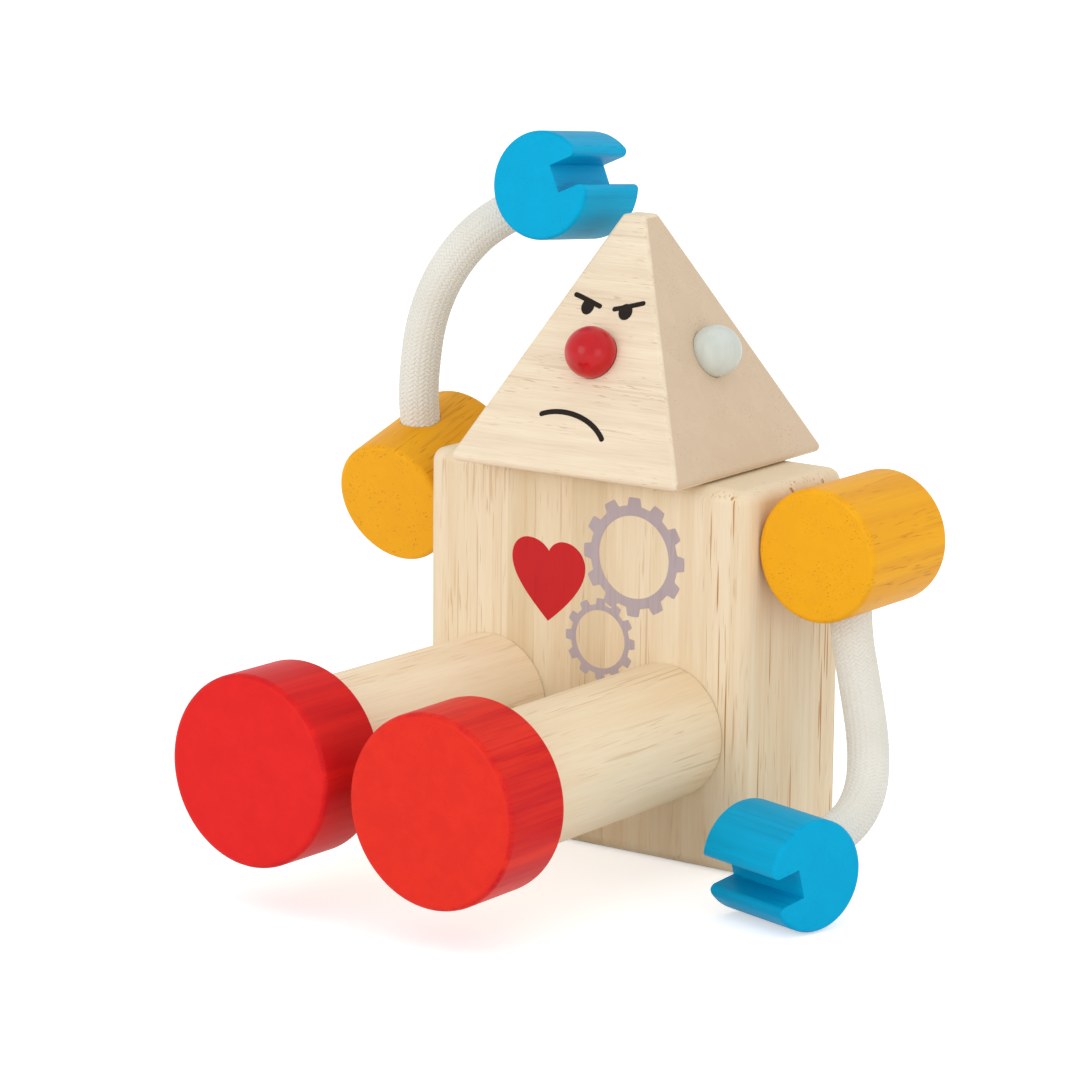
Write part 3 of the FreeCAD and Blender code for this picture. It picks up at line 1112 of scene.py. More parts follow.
@dataclass
class Leg:
    """A straight dowel leg with a disc foot, glued to the torso's front."""

    side: Side
    aside: float
    splay: float
    droop: float
    length: float
    stain: Timber
    # Scales the leg wood's colours; the left leg's 1.04 is painted light, lightening the leg that
    # sits in more shade.
    tone: float = 1.0
    height: float = 28.0 * MM
    radius: float = 14.0 * MM
    foot_radius: float = 19.5 * MM
    foot_length: float = 18.0 * MM
    foot_rounding: float = 1.4 * MM
    root_break: float = 0.4 * MM
    dowel_bore_radius: float = 5.05 * MM
    dowel_depth: float = 18.8 * MM
    foot_dowel_depth: float = 11.8 * MM
    light: Colour = (241, 224, 193)
    dark: Colour = (231, 204, 164)
    pore: Colour = (190, 144, 84)

    @property
    def root(self) -> Vector:
        """Where the leg's centre line leaves the torso's front."""
        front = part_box("torso_stave_1")[0].y
        return Vector((self.side.value * self.aside, front, self.height))

    @property
    def forward(self) -> Vector:
        """The leg's direction."""
        down = Matrix.Rotation(self.droop, 3, "X") @ FORWARD
        return Matrix.Rotation(self.side.value * self.splay, 3, "Z") @ down

    def bore_dowel(self, piece: Object, mouth: Vector, inward: Vector, depth: float) -> None:
        """Bores a dowel's hole into a piece."""
        Bench.bore(piece, self.dowel_bore_radius, mouth - inward * Bench.OVERRUN,
                   mouth + inward * depth)

    def build_leg(self) -> None:
        """Builds and dresses the leg, its root flush with the torso."""
        root, forward = self.root, self.forward
        foot_end = root + forward * self.length
        leg = Bench.rod("leg_" + self.side.word, self.radius, root - forward * self.radius,
                        foot_end)
        Bench.slice_off(leg, root, BACK)
        Bench.round_edges(leg, self.root_break, 2, Bench.is_crease)
        self.bore_dowel(leg, root, forward, self.dowel_depth)
        self.bore_dowel(leg, foot_end, -forward, self.dowel_depth)
        Bench.shade(leg)
        shift = Vector((0.05 * self.side.value, 0.4, 0.07 + 0.02 * self.side.value))
        # A tone above 1 is painted light: a lighter copy of the leg wood.
        wood = replace(BARE, name="bare_wood_leg_" + self.side.word,
                       light=darker(self.light, self.tone), dark=darker(self.dark, self.tone),
                       pore=self.pore, bands=0.4, pores=0.35, streaks=0.35)
        dress(leg, wood.material(forward, shift), "torso", "natural_wood",
              "leg_" + self.side.word)

    def build_foot(self) -> None:
        """Builds and dresses the foot, both rims rounded."""
        back = self.root + self.forward * self.length
        foot = Bench.rod("foot_" + self.side.word, self.foot_radius, back,
                         back + self.forward * self.foot_length, 192)
        Bench.round_edges(foot, self.foot_rounding, 6, Bench.is_crease)
        self.bore_dowel(foot, back, self.forward, self.foot_dowel_depth)
        Bench.shade(foot)
        shift = Vector((0.13, 0.27 * self.side.value, 0.3))
        dress(foot, self.stain.material(self.forward, shift), "torso", "red_stain",
              "foot_" + self.side.word)

    def build(self) -> None:
        """Builds the leg and its foot."""
        self.build_leg()
        self.build_foot()


# -------------------------------------------------------------------------------------- the arms

@dataclass
class Rope:
    """A rope arm: a core and forty-four strands braided over two and under two.

    Half of the strands turn one way and half the other. Each floats over two strands of the other
    way and dives under the next two, and the floats stand in columns along the rope, so that
    neighbouring columns lean in opposite directions.
    """

    side: Side
    centre: Vector
    route: tuple[tuple[float, float, float], ...]
    bend_start: float
    bend_end: float
    radius: float = 4.2 * MM
    swell: float = 0.1 * MM
    strands_each_way: int = 22
    pitch: float = 21.0 * MM
    strand_width: float = 1.0 * MM
    strand_thickness: float = 0.46 * MM
    dive: float = 0.24 * MM
    steps: int = 290
    strand_sides: int = 6
    core_sides: int = 32
    path: np.ndarray = field(init=False)

    def __post_init__(self) -> None:
        """Reads the rope's middle line from a spline through its route."""
        self.path = self.read_path()

    def read_path(self) -> np.ndarray:
        """Draws the route as one smooth spline and reads evenly spaced points from it.

        Returns:
            The points along the rope's middle.
        """
        curve = bpy.data.curves.new("rope_line", "CURVE")
        curve.dimensions = "3D"
        curve.resolution_u = 48
        spline = curve.splines.new("NURBS")
        spline.points.add(len(self.route) - 1)
        for point, place in zip(spline.points, self.route):
            point.co = (*(self.centre + Vector(place)), 1.0)
        spline.order_u = 3
        spline.use_endpoint_u = True
        line = bpy.data.objects.new("rope_line", curve)
        mesh = bpy.data.meshes.new_from_object(line)
        points = np.array([vertex.co for vertex in mesh.vertices])
        bpy.data.objects.remove(line)
        bpy.data.meshes.remove(mesh)
        gone = np.concatenate([[0], np.cumsum(np.linalg.norm(np.diff(points, axis=0), axis=1))])
        even = np.linspace(0, gone[-1], self.steps)
        return np.stack([np.interp(even, gone, points[:, axis]) for axis in range(3)], axis=1)

    @property
    def length(self) -> float:
        """The rope's length along its middle."""
        return float(np.linalg.norm(np.diff(self.path, axis=0), axis=1).sum())

    def frames(self) -> tuple[np.ndarray, np.ndarray]:
        """Two directions across the path at each point, carried along without twist.

        Returns:
            The first and the second direction across.
        """
        along = np.gradient(self.path, axis=0)
        along /= np.linalg.norm(along, axis=1)[:, None]
        first = np.empty_like(self.path)
        start = np.cross(along[0], (0.0, 1.0, 0.0))
        first[0] = start / np.linalg.norm(start)
        for index in range(1, self.steps):
            carried = first[index - 1] - along[index] * (first[index - 1] @ along[index])
            first[index] = carried / np.linalg.norm(carried)
        return first, np.cross(along, first)

    @staticmethod
    def tube(line: np.ndarray, wide: np.ndarray, thick: np.ndarray, sides: int,
             first_vertex: int) -> tuple[np.ndarray, list[tuple[int, ...]], np.ndarray]:
        """Builds a closed tube of oval section along a line.

        Args:
            line: The tube's middle.
            wide: The half-width vector at each point.
            thick: The half-thickness vector at each point.
            sides: How many flats go round it.
            first_vertex: The number of its first vertex in the whole mesh.

        Returns:
            The vertices, the faces, and each vertex's place along and round the tube.
        """
        turn = np.arange(sides) * 2 * math.pi / sides
        ring = (np.cos(turn)[None, :, None] * wide[:, None, :]
                + np.sin(turn)[None, :, None] * thick[:, None, :])
        vertices = (line[:, None, :] + ring).reshape(-1, 3)
        count = len(line)
        rows = first_vertex + np.arange(count - 1)[:, None] * sides
        here, after = np.arange(sides)[None, :], (np.arange(sides)[None, :] + 1) % sides
        quads = np.stack([rows + here, rows + after, rows + sides + after, rows + sides + here],
                         axis=2).reshape(-1, 4)
        faces = [tuple(quad) for quad in quads.tolist()]
        faces.append(tuple(range(first_vertex + sides - 1, first_vertex - 1, -1)))
        last = first_vertex + (count - 1) * sides
        faces.append(tuple(range(last, last + sides)))
        along = np.concatenate([[0], np.cumsum(np.linalg.norm(np.diff(line, axis=0), axis=1))])
        places = np.stack([np.repeat(along, sides), np.tile(turn / (2 * math.pi), count)], axis=1)
        return vertices, faces, places

    def strand(self, number: int, way: int, first: np.ndarray,
               second: np.ndarray) -> tuple[np.ndarray, np.ndarray, np.ndarray]:
        """One strand's middle line with its width and thickness.

        Args:
            number: The strand's place among those that turn the same way.
            way: 1 or -1, the way that it turns.
            first: The first direction across the rope.
            second: The second direction across the rope.

        Returns:
            The line, the half-width vectors and the half-thickness vectors.
        """
        gap = 2 * math.pi / self.strands_each_way
        gone = np.linspace(0, self.length, self.steps)
        turn = number * gap + way * 2 * math.pi * gone / self.pitch
        wave = way * np.sin(math.pi * turn / gap + math.pi / 4)
        lift = np.tanh(2.0 * wave) / math.tanh(2.0)
        outer = self.radius + self.swell - self.strand_thickness / 2
        distance = outer - self.dive / 2 + lift * self.dive / 2
        outward = np.cos(turn)[:, None] * first + np.sin(turn)[:, None] * second
        line = self.path + outward * distance[:, None]
        along = np.gradient(line, axis=0)
        along /= np.linalg.norm(along, axis=1)[:, None]
        wide = np.cross(along, outward)
        wide /= np.linalg.norm(wide, axis=1)[:, None]
        thick = np.cross(wide, along)
        return line, wide * self.strand_width / 2, thick * self.strand_thickness / 2

    def braid(self) -> Object:
        """Builds the core and all strands as one mesh.

        Returns:
            The rope.
        """
        first, second = self.frames()
        core = self.radius - self.strand_thickness - self.dive * 0.6
        tubes = [(self.path, first * core, second * core, self.core_sides)]
        tubes += [(*self.strand(number, way, first, second), self.strand_sides)
                  for way in (1, -1) for number in range(self.strands_each_way)]
        vertices, faces, places = [], [], []
        total = 0
        for line, wide, thick, sides in tubes:
            points, quads, spots = self.tube(line, wide, thick, sides, total)
            vertices.append(points)
            faces += quads
            places.append(spots)
            total += len(points)
        mesh = bpy.data.meshes.new("rope_" + self.side.word)
        mesh.from_pydata(np.concatenate(vertices).tolist(), [], faces)
        spots = np.concatenate(places)
        corners = np.empty(len(mesh.loops), dtype=np.int32)
        mesh.loops.foreach_get("vertex_index", corners)
        layer = mesh.uv_layers.new(name="strand")
        layer.data.foreach_set("uv", spots[corners].astype(np.float32).ravel())
        mesh.validate()
        mesh.shade_smooth()
        return Bench.link("rope_" + self.side.word, mesh)

    def socket_tool(self, name: str, gap: float) -> Object:
        """A plain tube along the rope, a little fatter, that cuts its sockets.

        Args:
            name: The tool's name.
            gap: How much wider than the rope it is.

        Returns:
            The tool.
        """
        first, second = self.frames()
        fat = self.radius + self.swell + gap
        every = slice(None, None, 6)
        points, faces, _ = self.tube(self.path[every], first[every] * fat, second[every] * fat,
                                     64, 0)
        mesh = bpy.data.meshes.new(name)
        mesh.from_pydata(points.tolist(), [], faces)
        return Bench.link(name, mesh)

    def build(self) -> None:
        rope = self.braid()
        rope.data.materials.append(Yarn().material())
        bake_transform(rope)
        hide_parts("rope_arm_" + self.side.word)
        LOG.info("%-24s is %.1f mm long", rope.name, self.length / MM)


@dataclass
class Arm:
    """A shoulder that turns on its axle, its rope, and the gripping hand at the rope's end."""

    side: Side
    centre: Vector
    tilt: float
    rope: Rope
    hand_axis: Vector
    hidden_end: int
    shoulder_radius: float = 13.65 * MM
    shoulder_length: float = 28.2 * MM
    shoulder_rounding: float = 1.2 * MM
    hand_radius: float = 11.25 * MM
    hand_length: float = 21.8 * MM
    hand_rounding: float = 0.8 * MM
    groove_width: float = 6.0 * MM
    groove_floor: float = 3.8 * MM
    lip_rounding: float = 1.5 * MM
    rope_depth: float = 7.0 * MM
    brad_radius: float = 0.76 * MM
    brad_head_radius: float = 1.36 * MM
    brad_head_depth: float = 1.16 * MM
    brad_from_end: float = 3.2 * MM
    brad_past_rope: float = 2.56 * MM
    axle_hole_radius: float = 4.05 * MM
    axle_hole_reach: float = 20.0 * MM
    axle_hole_past: float = 5.3 * MM
    shoulder_socket_gap: float = 0.04 * MM
    hand_socket_gap: float = 0.2 * MM

    @property
    def along(self) -> Vector:
        """The shoulder's direction, from front to back."""
        return Matrix.Rotation(self.tilt, 3, "X") @ BACK

    def grip_frame(self) -> tuple[Vector, Vector, Vector]:
        """Works out how the hand stands at the rope's end.

        Returns:
            Its centre, its direction and the direction that its groove opens to.
        """
        before, last = (self.centre + Vector(place) for place in self.rope.route[-2:])
        grip = (last - before).normalized()
        along = (self.hand_axis - grip * self.hand_axis.dot(grip)).normalized()
        return last + grip * (self.hand_radius - self.rope_depth), along, grip

    def bore_brad(self, piece: Object, pierced: Vector, centre: Vector, outward: Vector,
                  half_length: float) -> None:
        """Bores a brad's hole in through an end face.

        Args:
            piece: The shoulder or the hand.
            pierced: The point of the rope that the brad pierces.
            centre: The piece's centre.
            outward: The direction out of the end face.
            half_length: Half of the piece's length.
        """
        mouth = pierced + outward * (half_length - (pierced - centre).dot(outward))
        Bench.bore(piece, self.brad_head_radius, mouth - outward * self.brad_head_depth,
                   mouth + outward * Bench.OVERRUN, 48)
        Bench.bore(piece, self.brad_radius, mouth - outward * Bench.OVERRUN,
                   pierced - outward * (self.rope.radius + self.brad_past_rope), 24)

    def build_shoulder(self) -> None:
        """Builds and dresses the shoulder."""
        half = self.along * (self.shoulder_length / 2)
        shoulder = Bench.rod("shoulder_" + self.side.word, self.shoulder_radius,
                             self.centre - half, self.centre + half, 160)
        Bench.round_edges(shoulder, self.shoulder_rounding, 6, Bench.is_crease)
        socket = self.rope.socket_tool("socket", self.shoulder_socket_gap)
        Bench.combine(shoulder, socket, Cut.REMOVE)
        outward = OUTWARD * self.side.value
        Bench.bore(shoulder, self.axle_hole_radius, self.centre - outward * self.axle_hole_reach,
                   self.centre + outward * self.axle_hole_past)
        start, second = (self.centre + Vector(place) for place in self.rope.route[:2])
        pierced = start + (second - start).normalized() * self.brad_from_end
        self.bore_brad(shoulder, pierced, self.centre, self.along, self.shoulder_length / 2)
        Bench.shade(shoulder)
        shift = Vector((0.05, 0.16 * self.side.value, 0.21))
        dress(shoulder, YELLOW.material(self.along, shift),
              "shoulder_%s_body" % self.side.word, "yellow_stain",
              "shoulder_" + self.side.word)

    def groove_tool(self, centre: Vector, along: Vector, grip: Vector) -> Object:
        """The block that cuts a hand's groove, with a flare that rounds each of its lips.

        Args:
            centre: The hand's centre.
            along: The hand's direction.
            grip: The direction that the groove opens to.

        Returns:
            The tool.
        """
        half = self.groove_width / 2
        reach = 2 * self.hand_radius
        tool = Bench.block("groove", Vector((self.groove_floor, -half, -reach)),
                           Vector((reach, half, reach)))
        turned = Matrix((grip, along.cross(grip), along)).transposed().to_4x4()
        lip = half + self.lip_rounding
        inner = math.sqrt((self.hand_radius - self.lip_rounding) ** 2 - lip ** 2)
        touch = lip * self.hand_radius / (self.hand_radius - self.lip_rounding)
        for sign in (-1, 1):
            edges = sorted((sign * (half - 0.5 * MM), sign * touch))
            flare = Bench.block("flare", Vector((inner, edges[0], -reach + MM)),
                                Vector((reach - MM, edges[1], reach - MM)))
            round_lip = Bench.rod("lip", self.lip_rounding, Vector((inner, sign * lip, -reach)),
                                  Vector((inner, sign * lip, reach)), 96)
            Bench.combine(flare, round_lip, Cut.REMOVE)
            Bench.combine(tool, flare, Cut.ADD)
        return Bench.place(tool, Matrix.Translation(centre) @ turned)

    def build_hand(self) -> None:
        """Builds and dresses the hand, its rims and the lips of its groove softened."""
        centre, along, grip = self.grip_frame()
        half = along * (self.hand_length / 2)
        hand = Bench.rod("hand_" + self.side.word, self.hand_radius, centre - half,
                         centre + half, 160)
        Bench.round_edges(hand, self.hand_rounding, 6, Bench.is_crease)
        Bench.combine(hand, self.groove_tool(centre, along, grip), Cut.REMOVE)
        socket = self.rope.socket_tool("socket", self.hand_socket_gap)
        Bench.combine(hand, socket, Cut.REMOVE)
        end = self.centre + Vector(self.rope.route[-1])
        pierced = end - grip * self.brad_from_end
        self.bore_brad(hand, pierced, centre, along * self.hidden_end, self.hand_length / 2)
        Bench.shade(hand)
        shift = Vector((0.3, 0.21 * self.side.value, 0.05))
        dress(hand, BLUE.material(along, shift), "hand_%s_body" % self.side.word,
              "blue_stain", "hand_" + self.side.word)

    def build(self) -> None:
        """Builds the rope, the shoulder and the hand."""
        self.rope.build()
        self.build_shoulder()
        self.build_hand()


# ------------------------------------------------------------------------------------ the prints

@dataclass(frozen=True)
class Gear:
    """A printed gear, on the plane of the torso's front."""

    name: str
    centre: Spot
    hole: float
    root: float
    tip: float
    lift: float = 0.0


GEARS = (
    Gear("gear_print_large", (12.6 * MM, 62.9 * MM), 8.6 * MM, 10.7 * MM, 12.4 * MM),
    Gear("gear_print_small", (4.5 * MM, 44.6 * MM), 6.1 * MM, 7.3 * MM, 8.6 * MM,
         lift=-0.008 * MM),
)


@dataclass
class Prints:
    """The heart and gears printed on the torso, and the face printed on the head."""

    head: Head
    thickness: float = 0.06 * MM
    sunk: float = 0.02 * MM
    gear_teeth: int = 12
    samples_per_tooth: int = 24
    tooth_foot: float = 0.62
    tooth_flank: float = 0.17
    tooth_curve: float = 1.4
    brow_width: float = 1.05 * MM
    mouth_width: float = 1.1 * MM
    mark_lift: float = 0.006 * MM

    def plate(self, name: str, outlines: Sequence[Outline],
              place: Matrix) -> Object:
        """Makes a thin closed plate of paint from flat outlines.

        Args:
            name: The piece's name.
            outlines: Closed outlines, where one inside another is a hole.
            place: The frame whose XY plane the plate lies on.

        Returns:
            The plate.
        """
        curve = bpy.data.curves.new(name, "CURVE")
        curve.dimensions = "2D"
        curve.fill_mode = "BOTH"
        for outline in outlines:
            spline = curve.splines.new("POLY")
            spline.points.add(len(outline) - 1)
            for point, (across, up) in zip(spline.points, outline):
                point.co = (across, up, 0, 1)
            spline.use_cyclic_u = True
        Bench.activate(Bench.link(name, curve))
        bpy.ops.object.convert(target="MESH")
        plate = Bench.place(bpy.context.object, place @ Matrix.Translation((0, 0, -self.sunk)))
        Bench.modify(plate, "SOLIDIFY", thickness=self.thickness, offset=1.0)
        with Bench.editing(plate, Pick.FACE):
            bpy.ops.mesh.select_all(action="SELECT")
            bpy.ops.mesh.remove_doubles(threshold=0.001 * MM)
            bpy.ops.mesh.normals_make_consistent(inside=False)
        return plate

    def torso_front(self, lift: float = 0.0) -> Matrix:
        """The frame of the torso's front: X across, Y up, Z outwards."""
        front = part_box("torso_stave_1")[0].y
        return Matrix.Translation((0, front - lift, 0)) @ Matrix.Rotation(math.pi / 2, 4, "X")

    def gear_outline(self, gear: Gear) -> Outline:
        """A gear's toothed outline, one tooth pointing straight up.

        Args:
            gear: The gear.

        Returns:
            The outline's points.
        """
        points = []
        count = self.gear_teeth * self.samples_per_tooth
        for index in range(count):
            turn = 2 * math.pi * index / count
            phase = abs((index / self.samples_per_tooth + 0.5) % 1 - 0.5) * 2
            rise = min(max((self.tooth_foot - phase) / self.tooth_flank, 0), 1)
            reach = gear.root + (gear.tip - gear.root) * rise ** self.tooth_curve
            points.append((gear.centre[0] + reach * math.sin(turn),
                           gear.centre[1] + reach * math.cos(turn)))
        return points

    @staticmethod
    def circle(centre: Spot, radius: float, count: int = 120) -> Outline:
        """A circle's points.

        Args:
            centre: Its centre.
            radius: Its radius.
            count: How many points go round it.

        Returns:
            The points.
        """
        turns = [2 * math.pi * index / count for index in range(count)]
        return [(centre[0] + radius * math.cos(turn), centre[1] + radius * math.sin(turn))
                for turn in turns]

    @staticmethod
    def curved(points: Sequence[Spot], steps: int = 14) -> Outline:
        """Points along cubic curves that follow each other.

        Args:
            points: A start, then two handles and an end for each curve.
            steps: How many points each curve gives.

        Returns:
            The points, with each curve's end left to the next one.
        """
        found = []
        for first in range(0, len(points) - 3, 3):
            a, b, c, d = (Vector(point) for point in points[first:first + 4])
            for index in range(steps):
                t = index / steps
                spot = (a * (1 - t) ** 3 + b * 3 * t * (1 - t) ** 2
                        + c * 3 * t ** 2 * (1 - t) + d * t ** 3)
                found.append((spot.x, spot.y))
        return found

    def heart_outline(self) -> Outline:
        """The heart, from its notch round by its left lobe, its point and its right lobe.

        Returns:
            The outline's points.
        """
        shape = [(-8.6, 61.4), (-9.6, 62.9), (-11.6, 63.8), (-13.7, 63.8),
                 (-16.2, 63.8), (-17.9, 61.9), (-17.9, 59.4),
                 (-17.9, 55.2), (-13.4, 51.0), (-8.7, 46.6),
                 (-3.6, 50.6), (0.6, 54.8), (0.6, 58.7),
                 (0.6, 61.4), (-1.8, 63.7), (-4.8, 63.7),
                 (-6.6, 63.7), (-8.0, 62.7), (-8.6, 61.4)]
        return [(x * MM, y * MM) for x, y in self.curved(shape)]

    def stroke(self, spine: Sequence[Spot], width: float) -> Outline:
        """The outline of a brush stroke with round ends.

        Args:
            spine: The points of one cubic curve, on the face and over the base.
            width: The stroke's width.

        Returns:
            The outline's points.
        """
        slope = math.cos(self.head.lean)
        middle = self.curved(spine, 24) + [spine[-1]]
        line = [Vector((x * MM, y * MM / slope)) for x, y in middle]
        left, right = [], []
        for index, spot in enumerate(line):
            ahead = line[min(index + 1, len(line) - 1)] - line[max(index - 1, 0)]
            normal = Vector((-ahead.y, ahead.x)).normalized() * width / 2
            left.append(spot + normal)
            right.append(spot - normal)
        caps = [self.cap(line[-1], left[-1], 12), self.cap(line[0], right[0], 12)]
        whole = left + caps[0] + right[::-1] + caps[1]
        return [(spot.x, spot.y) for spot in whole]

    @staticmethod
    def cap(middle: Vector, start: Vector, count: int) -> list[Vector]:
        """The half circle that ends a stroke.

        Args:
            middle: The end of the stroke's middle line.
            start: The edge point that the half circle leaves from.
            count: How many points it has.

        Returns:
            The points between the stroke's two edges.
        """
        arm = start - middle
        turns = [-math.pi * (index + 1) / (count + 1) for index in range(count)]
        return [middle + Matrix.Rotation(turn, 2) @ arm for turn in turns]

    def eye_outline(self, across: float, height: float, half_width: float,
                    half_height: float) -> Outline:
        """An eye: an oval whose top lies under its brow.

        Args:
            across: Where its middle is across the face.
            height: Its middle's height over the base.
            half_width: Half of its width.
            half_height: Half of its height.

        Returns:
            The outline's points.
        """
        slope = math.cos(self.head.lean)
        return [((across + half_width * x) * MM, (height + half_height * y) * MM / slope)
                for x, y in self.circle((0.0, 0.0), 1.0)]

    def build(self) -> None:
        """Builds and dresses every print."""
        front = self.torso_front()
        heart = self.plate("heart_print", [self.heart_outline()], front)
        dress(heart, HEART_PAINT.material(UP, Vector((0.3, 0.2, 0.1))), "torso", "heart_print")
        for gear in GEARS:
            outlines = [self.gear_outline(gear), self.circle(gear.centre, gear.hole)]
            plate = self.plate(gear.name, outlines, self.torso_front(gear.lift))
            dress(plate, GEAR_PAINT.material(UP, Vector((0.1, 0.2, 0.4))), "torso", "gear_print")
        face = self.head.face(0)
        marks = {
            "brow_left": self.stroke([(-8.2, 34.4), (-6.1, 33.95), (-4.0, 33.3),
                                      (-1.8, 32.7)], self.brow_width),
            "brow_right": self.stroke([(1.9, 32.5), (4.0, 32.95), (6.1, 33.6),
                                       (8.3, 34.2)], self.brow_width),
            "mouth": self.stroke([(-8.4, 11.3), (-3.4, 13.2), (4.0, 11.8),
                                  (7.5, 8.1)], self.mouth_width),
            "eye_left": self.eye_outline(-4.65, 32.4, 1.52, 1.55),
            "eye_right": self.eye_outline(4.67, 32.2, 1.62, 1.55),
        }
        for number, (name, outline) in enumerate(marks.items()):
            lift = Matrix.Translation((0, 0, self.mark_lift * number))
            mark = self.plate(name, [outline], face @ lift)
            dress(mark, FACE_PAINT.material(OUTWARD, Vector((0, 0, 0.1))), "head", "face_print")


# ---------------------------------------------------------------------------- the robot's insides

class HiddenParts:
    """The pegs, dowels, axles and brads that keep the frame's own meshes."""

    def build(self, nodes: dict[str, Object]) -> None:
        """Dresses the frame's nodes that stay.

        Args:
            nodes: The frame's objects by name.
        """
        steel = Steel().material()
        for name, node in nodes.items():
            if node.hide_render:
                continue
            if "brad" in name:
                material = steel
            else:
                material = self.dowel_wood(name, node)
            for slot in node.material_slots:
                slot.material = material
            LOG.info("%-24s stays, in %s", name, material.name)

    @staticmethod
    def dowel_wood(name: str, node: Object) -> Material:
        """Turned dowel, with its grain along its longest side.

        Args:
            name: The node's name.
            node: The node's object.

        Returns:
            The material.
        """
        sides = list(node.dimensions)
        along = (OUTWARD, BACK, UP)[sides.index(max(sides))]
        wood = Timber("dowel_wood_" + name, (232, 208, 172), (208, 178, 138), (158, 116, 76))
        return wood.material(along, Vector((0.02, 0.03, 0.04)))


# ------------------------------------------------------------------------------------- the studio

@dataclass
class Studio:
    """A pale floor, a white surround, soft lamps and the camera."""

    floor_size: float = 6.0
    floor_drop: float = 0.15 * MM
    floor_shade: float = 0.9
    floor_glow: float = 0.5
    ambient: float = 0.93
    aim: Vector = field(default_factory=lambda: Vector((0, -0.02, 0.07)))
    camera_place: Vector = field(default_factory=lambda: Vector((0.5458, -0.7952, 0.2667)))
    camera_right: Vector = field(default_factory=lambda: Vector((0.8120, 0.5836, 0.0102)))
    camera_back: Vector = field(default_factory=lambda: Vector((0.5682, -0.7943, 0.2150)))
    lens: float = 157.88
    shift: tuple[float, float] = (-0.00337, 0.03117)

    def build_camera(self) -> None:
        """Sets the camera."""
        back = self.camera_back.normalized()
        right = (self.camera_right - back * self.camera_right.dot(back)).normalized()
        up = back.cross(right)
        data = bpy.data.cameras.new("camera")
        data.lens = self.lens
        data.sensor_width = 36.0
        data.shift_x, data.shift_y = self.shift
        data.clip_start, data.clip_end = 0.05, 20.0
        camera = Bench.link("camera", data)
        camera.matrix_world = (Matrix.Translation(self.camera_place)
                               @ Matrix((right, up, back)).transposed().to_4x4())
        bpy.context.scene.camera = camera

    @staticmethod
    def seen_directly(tree: bpy.types.NodeTree) -> NodeSocket:
        """A factor of 1 for the camera, for mirrors and through glass, and 0 for light on things.

        Args:
            tree: The tree to add to.

        Returns:
            The factor.
        """
        path = tree.nodes.new("ShaderNodeLightPath")
        total = path.outputs["Is Camera Ray"]
        for kind in ("Is Glossy Ray", "Is Transmission Ray"):
            node = tree.nodes.new("ShaderNodeMath")
            node.operation = "MAXIMUM"
            tree.links.new(total, node.inputs[0])
            tree.links.new(path.outputs[kind], node.inputs[1])
            total = node.outputs[0]
        return total

    def build_world(self) -> None:
        """Sets a white surround that lights the object more softly than it looks."""
        world = bpy.data.worlds.new("surround")
        world.use_nodes = True
        tree = world.node_tree
        glow = tree.nodes["Background"]
        glow.inputs["Color"].default_value = (1, 1, 1, 1)
        glow.inputs["Strength"].default_value = self.ambient
        seen = tree.nodes.new("ShaderNodeBackground")
        seen.inputs["Color"].default_value = (1, 1, 1, 1)
        seen.inputs["Strength"].default_value = 1.0
        mix = tree.nodes.new("ShaderNodeMixShader")
        tree.links.new(self.seen_directly(tree), mix.inputs[0])
        tree.links.new(glow.outputs[0], mix.inputs[1])
        tree.links.new(seen.outputs[0], mix.inputs[2])
        tree.links.new(mix.outputs[0], tree.nodes["World Output"].inputs["Surface"])
        bpy.context.scene.world = world

    def build_floor(self) -> None:
        """Lays the floor, white where no shadow falls."""
        Bench.clear_selection()
        bpy.ops.mesh.primitive_plane_add(size=self.floor_size, location=(0, 0, -self.floor_drop))
        floor = Bench.named("floor")
        material = bpy.data.materials.new("floor")
        material.use_nodes = True
        tree = material.node_tree
        surface = tree.nodes["Principled BSDF"]
        surface.inputs["Base Color"].default_value = (*[self.floor_shade] * 3, 1)
        surface.inputs["Roughness"].default_value = 0.9
        surface.inputs["Specular IOR Level"].default_value = 0.0
        glow = tree.nodes.new("ShaderNodeEmission")
        glow.inputs["Color"].default_value = (1, 1, 1, 1)
        seen = self.scaled(tree, self.seen_directly(tree), self.floor_glow)
        tree.links.new(seen, glow.inputs["Strength"])
        both = tree.nodes.new("ShaderNodeAddShader")
        tree.links.new(surface.outputs[0], both.inputs[0])
        tree.links.new(glow.outputs[0], both.inputs[1])
        tree.links.new(both.outputs[0], tree.nodes["Material Output"].inputs["Surface"])
        floor.data.materials.append(material)

    @staticmethod
    def scaled(tree: bpy.types.NodeTree, value: NodeSocket, share: float) -> NodeSocket:
        """Multiplies a value in a tree.

        Args:
            tree: The tree to add to.
            value: The value.
            share: What it is multiplied by.

        Returns:
            The product.
        """
        node = tree.nodes.new("ShaderNodeMath")
        node.operation = "MULTIPLY"
        tree.links.new(value, node.inputs[0])
        node.inputs[1].default_value = share
        return node.outputs[0]

    def lamp(self, name: str, place: tuple[float, float, float], size: float,
             power: float) -> None:
        """Hangs a square soft white lamp that points at the robot's middle.

        Args:
            name: The lamp's name.
            place: Where it hangs.
            size: Its side.
            power: Its power in watts.
        """
        data = bpy.data.lights.new(name, "AREA")
        data.shape = "SQUARE"
        data.size = size
        data.energy = power
        lamp = Bench.link(name, data)
        lamp.location = place
        lamp.rotation_euler = (self.aim - Vector(place)).to_track_quat("-Z", "Y").to_euler()

    def build(self) -> None:
        """Builds the studio."""
        bpy.context.scene.view_settings.view_transform = "Standard"
        self.build_camera()
        self.build_world()
        self.build_floor()
        self.lamp("key", (-0.2, -1.3, 0.45), size=0.7, power=3.1)
        self.lamp("fill", (1.2, -0.5, 0.2), size=0.7, power=2.1)


# -------------------------------------------------------------------------------------- the robot

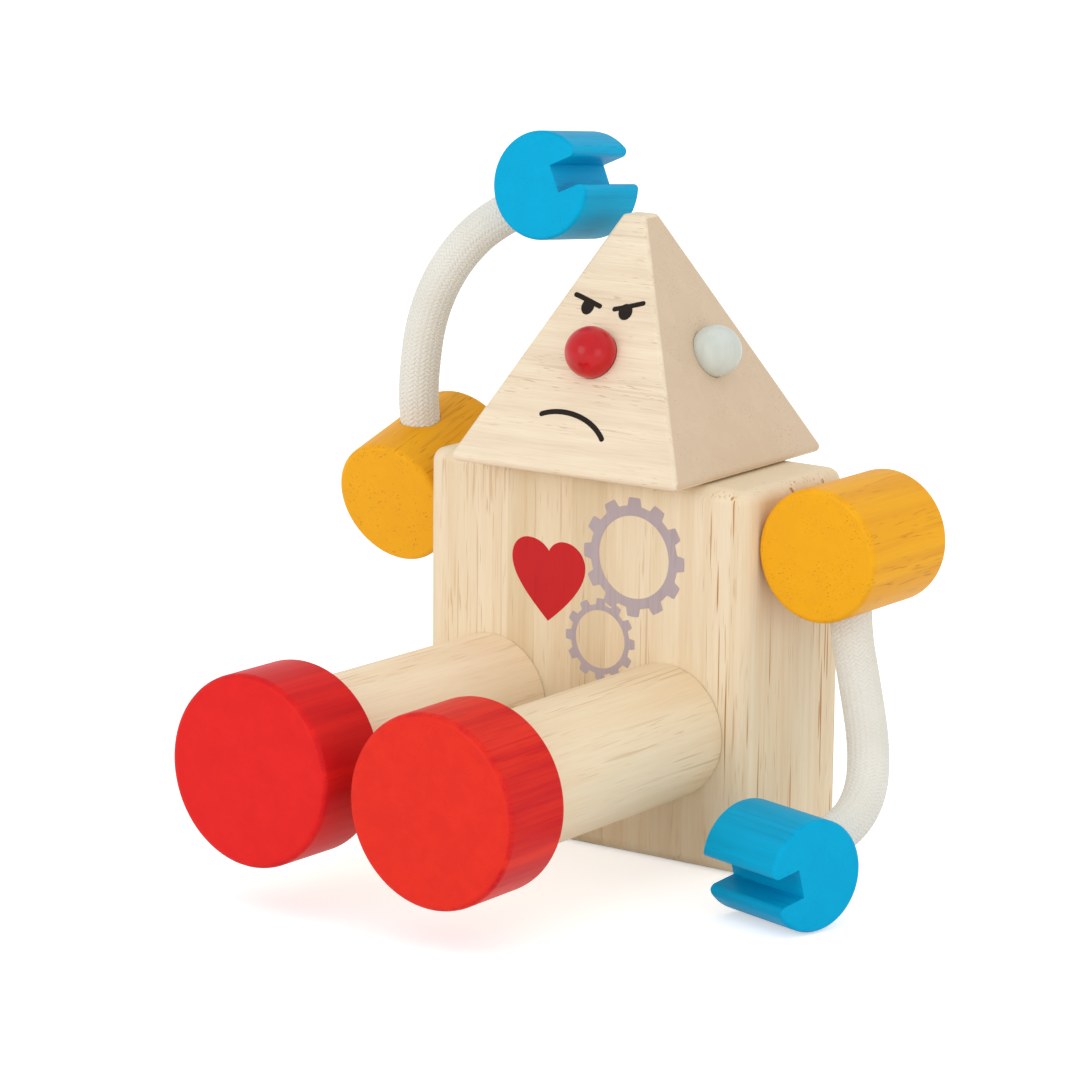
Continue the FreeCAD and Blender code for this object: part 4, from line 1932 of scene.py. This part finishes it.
ROUTES = {
    Side.LEFT: ((0.0003, -0.0016, 0.0051), (0.0003, -0.0041, 0.0130), (0.0009, -0.0051, 0.0226),
                (0.0027, -0.0046, 0.0362), (0.0086, -0.0031, 0.0484), (0.0185, -0.0013, 0.0579),
                (0.0309, 0.0002, 0.0636)),
    Side.RIGHT: ((-0.0004, 0.0, -0.0053), (-0.0004, 0.0, -0.0164), (0.0030, -0.0008, -0.0285),
                 (0.0083, -0.0053, -0.0396), (0.0130, -0.0137, -0.0475),
                 (0.0135, -0.0240, -0.0529), (0.0102, -0.0346, -0.0555)),
}


@dataclass
class Robot:
    """The whole toy."""

    frame: dict

    def joint_place(self, name: str) -> Vector:
        """The place of one of the frame's joints."""
        return next(Vector(joint["pos_m"]) for joint in self.frame["joints"]
                    if joint["name"] == name)

    def arm(self, side: Side) -> Arm:
        """The arm of one side.

        Args:
            side: Which side.

        Returns:
            The arm, not yet built.
        """
        centre = self.joint_place("shoulder_turn_" + side.word)
        rope = Rope(side, centre, ROUTES[side], bend_start=9.5 * MM, bend_end=64.0 * MM)
        if side is Side.LEFT:
            return Arm(side, centre, math.radians(17.56), rope,
                       Vector((-0.074, 0.991, -0.110)), 1)
        return Arm(side, centre, 0.0, rope, Vector((0.955, -0.295, 0.012)), -1)

    def build(self) -> None:
        """Builds every sub-assembly in order."""
        arms = (self.arm(Side.LEFT), self.arm(Side.RIGHT))
        # The left leg's tone of 1.04 is painted light against the shade it sits in.
        legs = (Leg(Side.LEFT, 22.9 * MM, math.radians(0.6), math.radians(-0.35), 61.9 * MM, RED,
                    tone=1.04),
                Leg(Side.RIGHT, 21.0 * MM, 0.0, math.radians(0.2), 62.1 * MM, ORANGE_RED))
        neck = self.joint_place("head_turn")
        for arm in arms:
            arm.build()
        Torso(arms, legs, neck).build()
        head = Head(neck)
        head.build()
        for leg in legs:
            leg.build()
        Prints(head).build()
        HiddenParts().build(self.frame["nodes"])


def corners(box: tuple[Vector, Vector]) -> list[list[float]]:
    """A box as plain lists of numbers."""
    return [list(corner) for corner in box]


def main() -> None:
    """Builds the studio and the robot."""
    logging.basicConfig(level=logging.INFO, format="%(message)s")
    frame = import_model()
    Bench.clear_selection()
    Studio().build()
    Robot(frame).build()
    Bench.clear_selection()


if __name__ == "__main__":
    main()
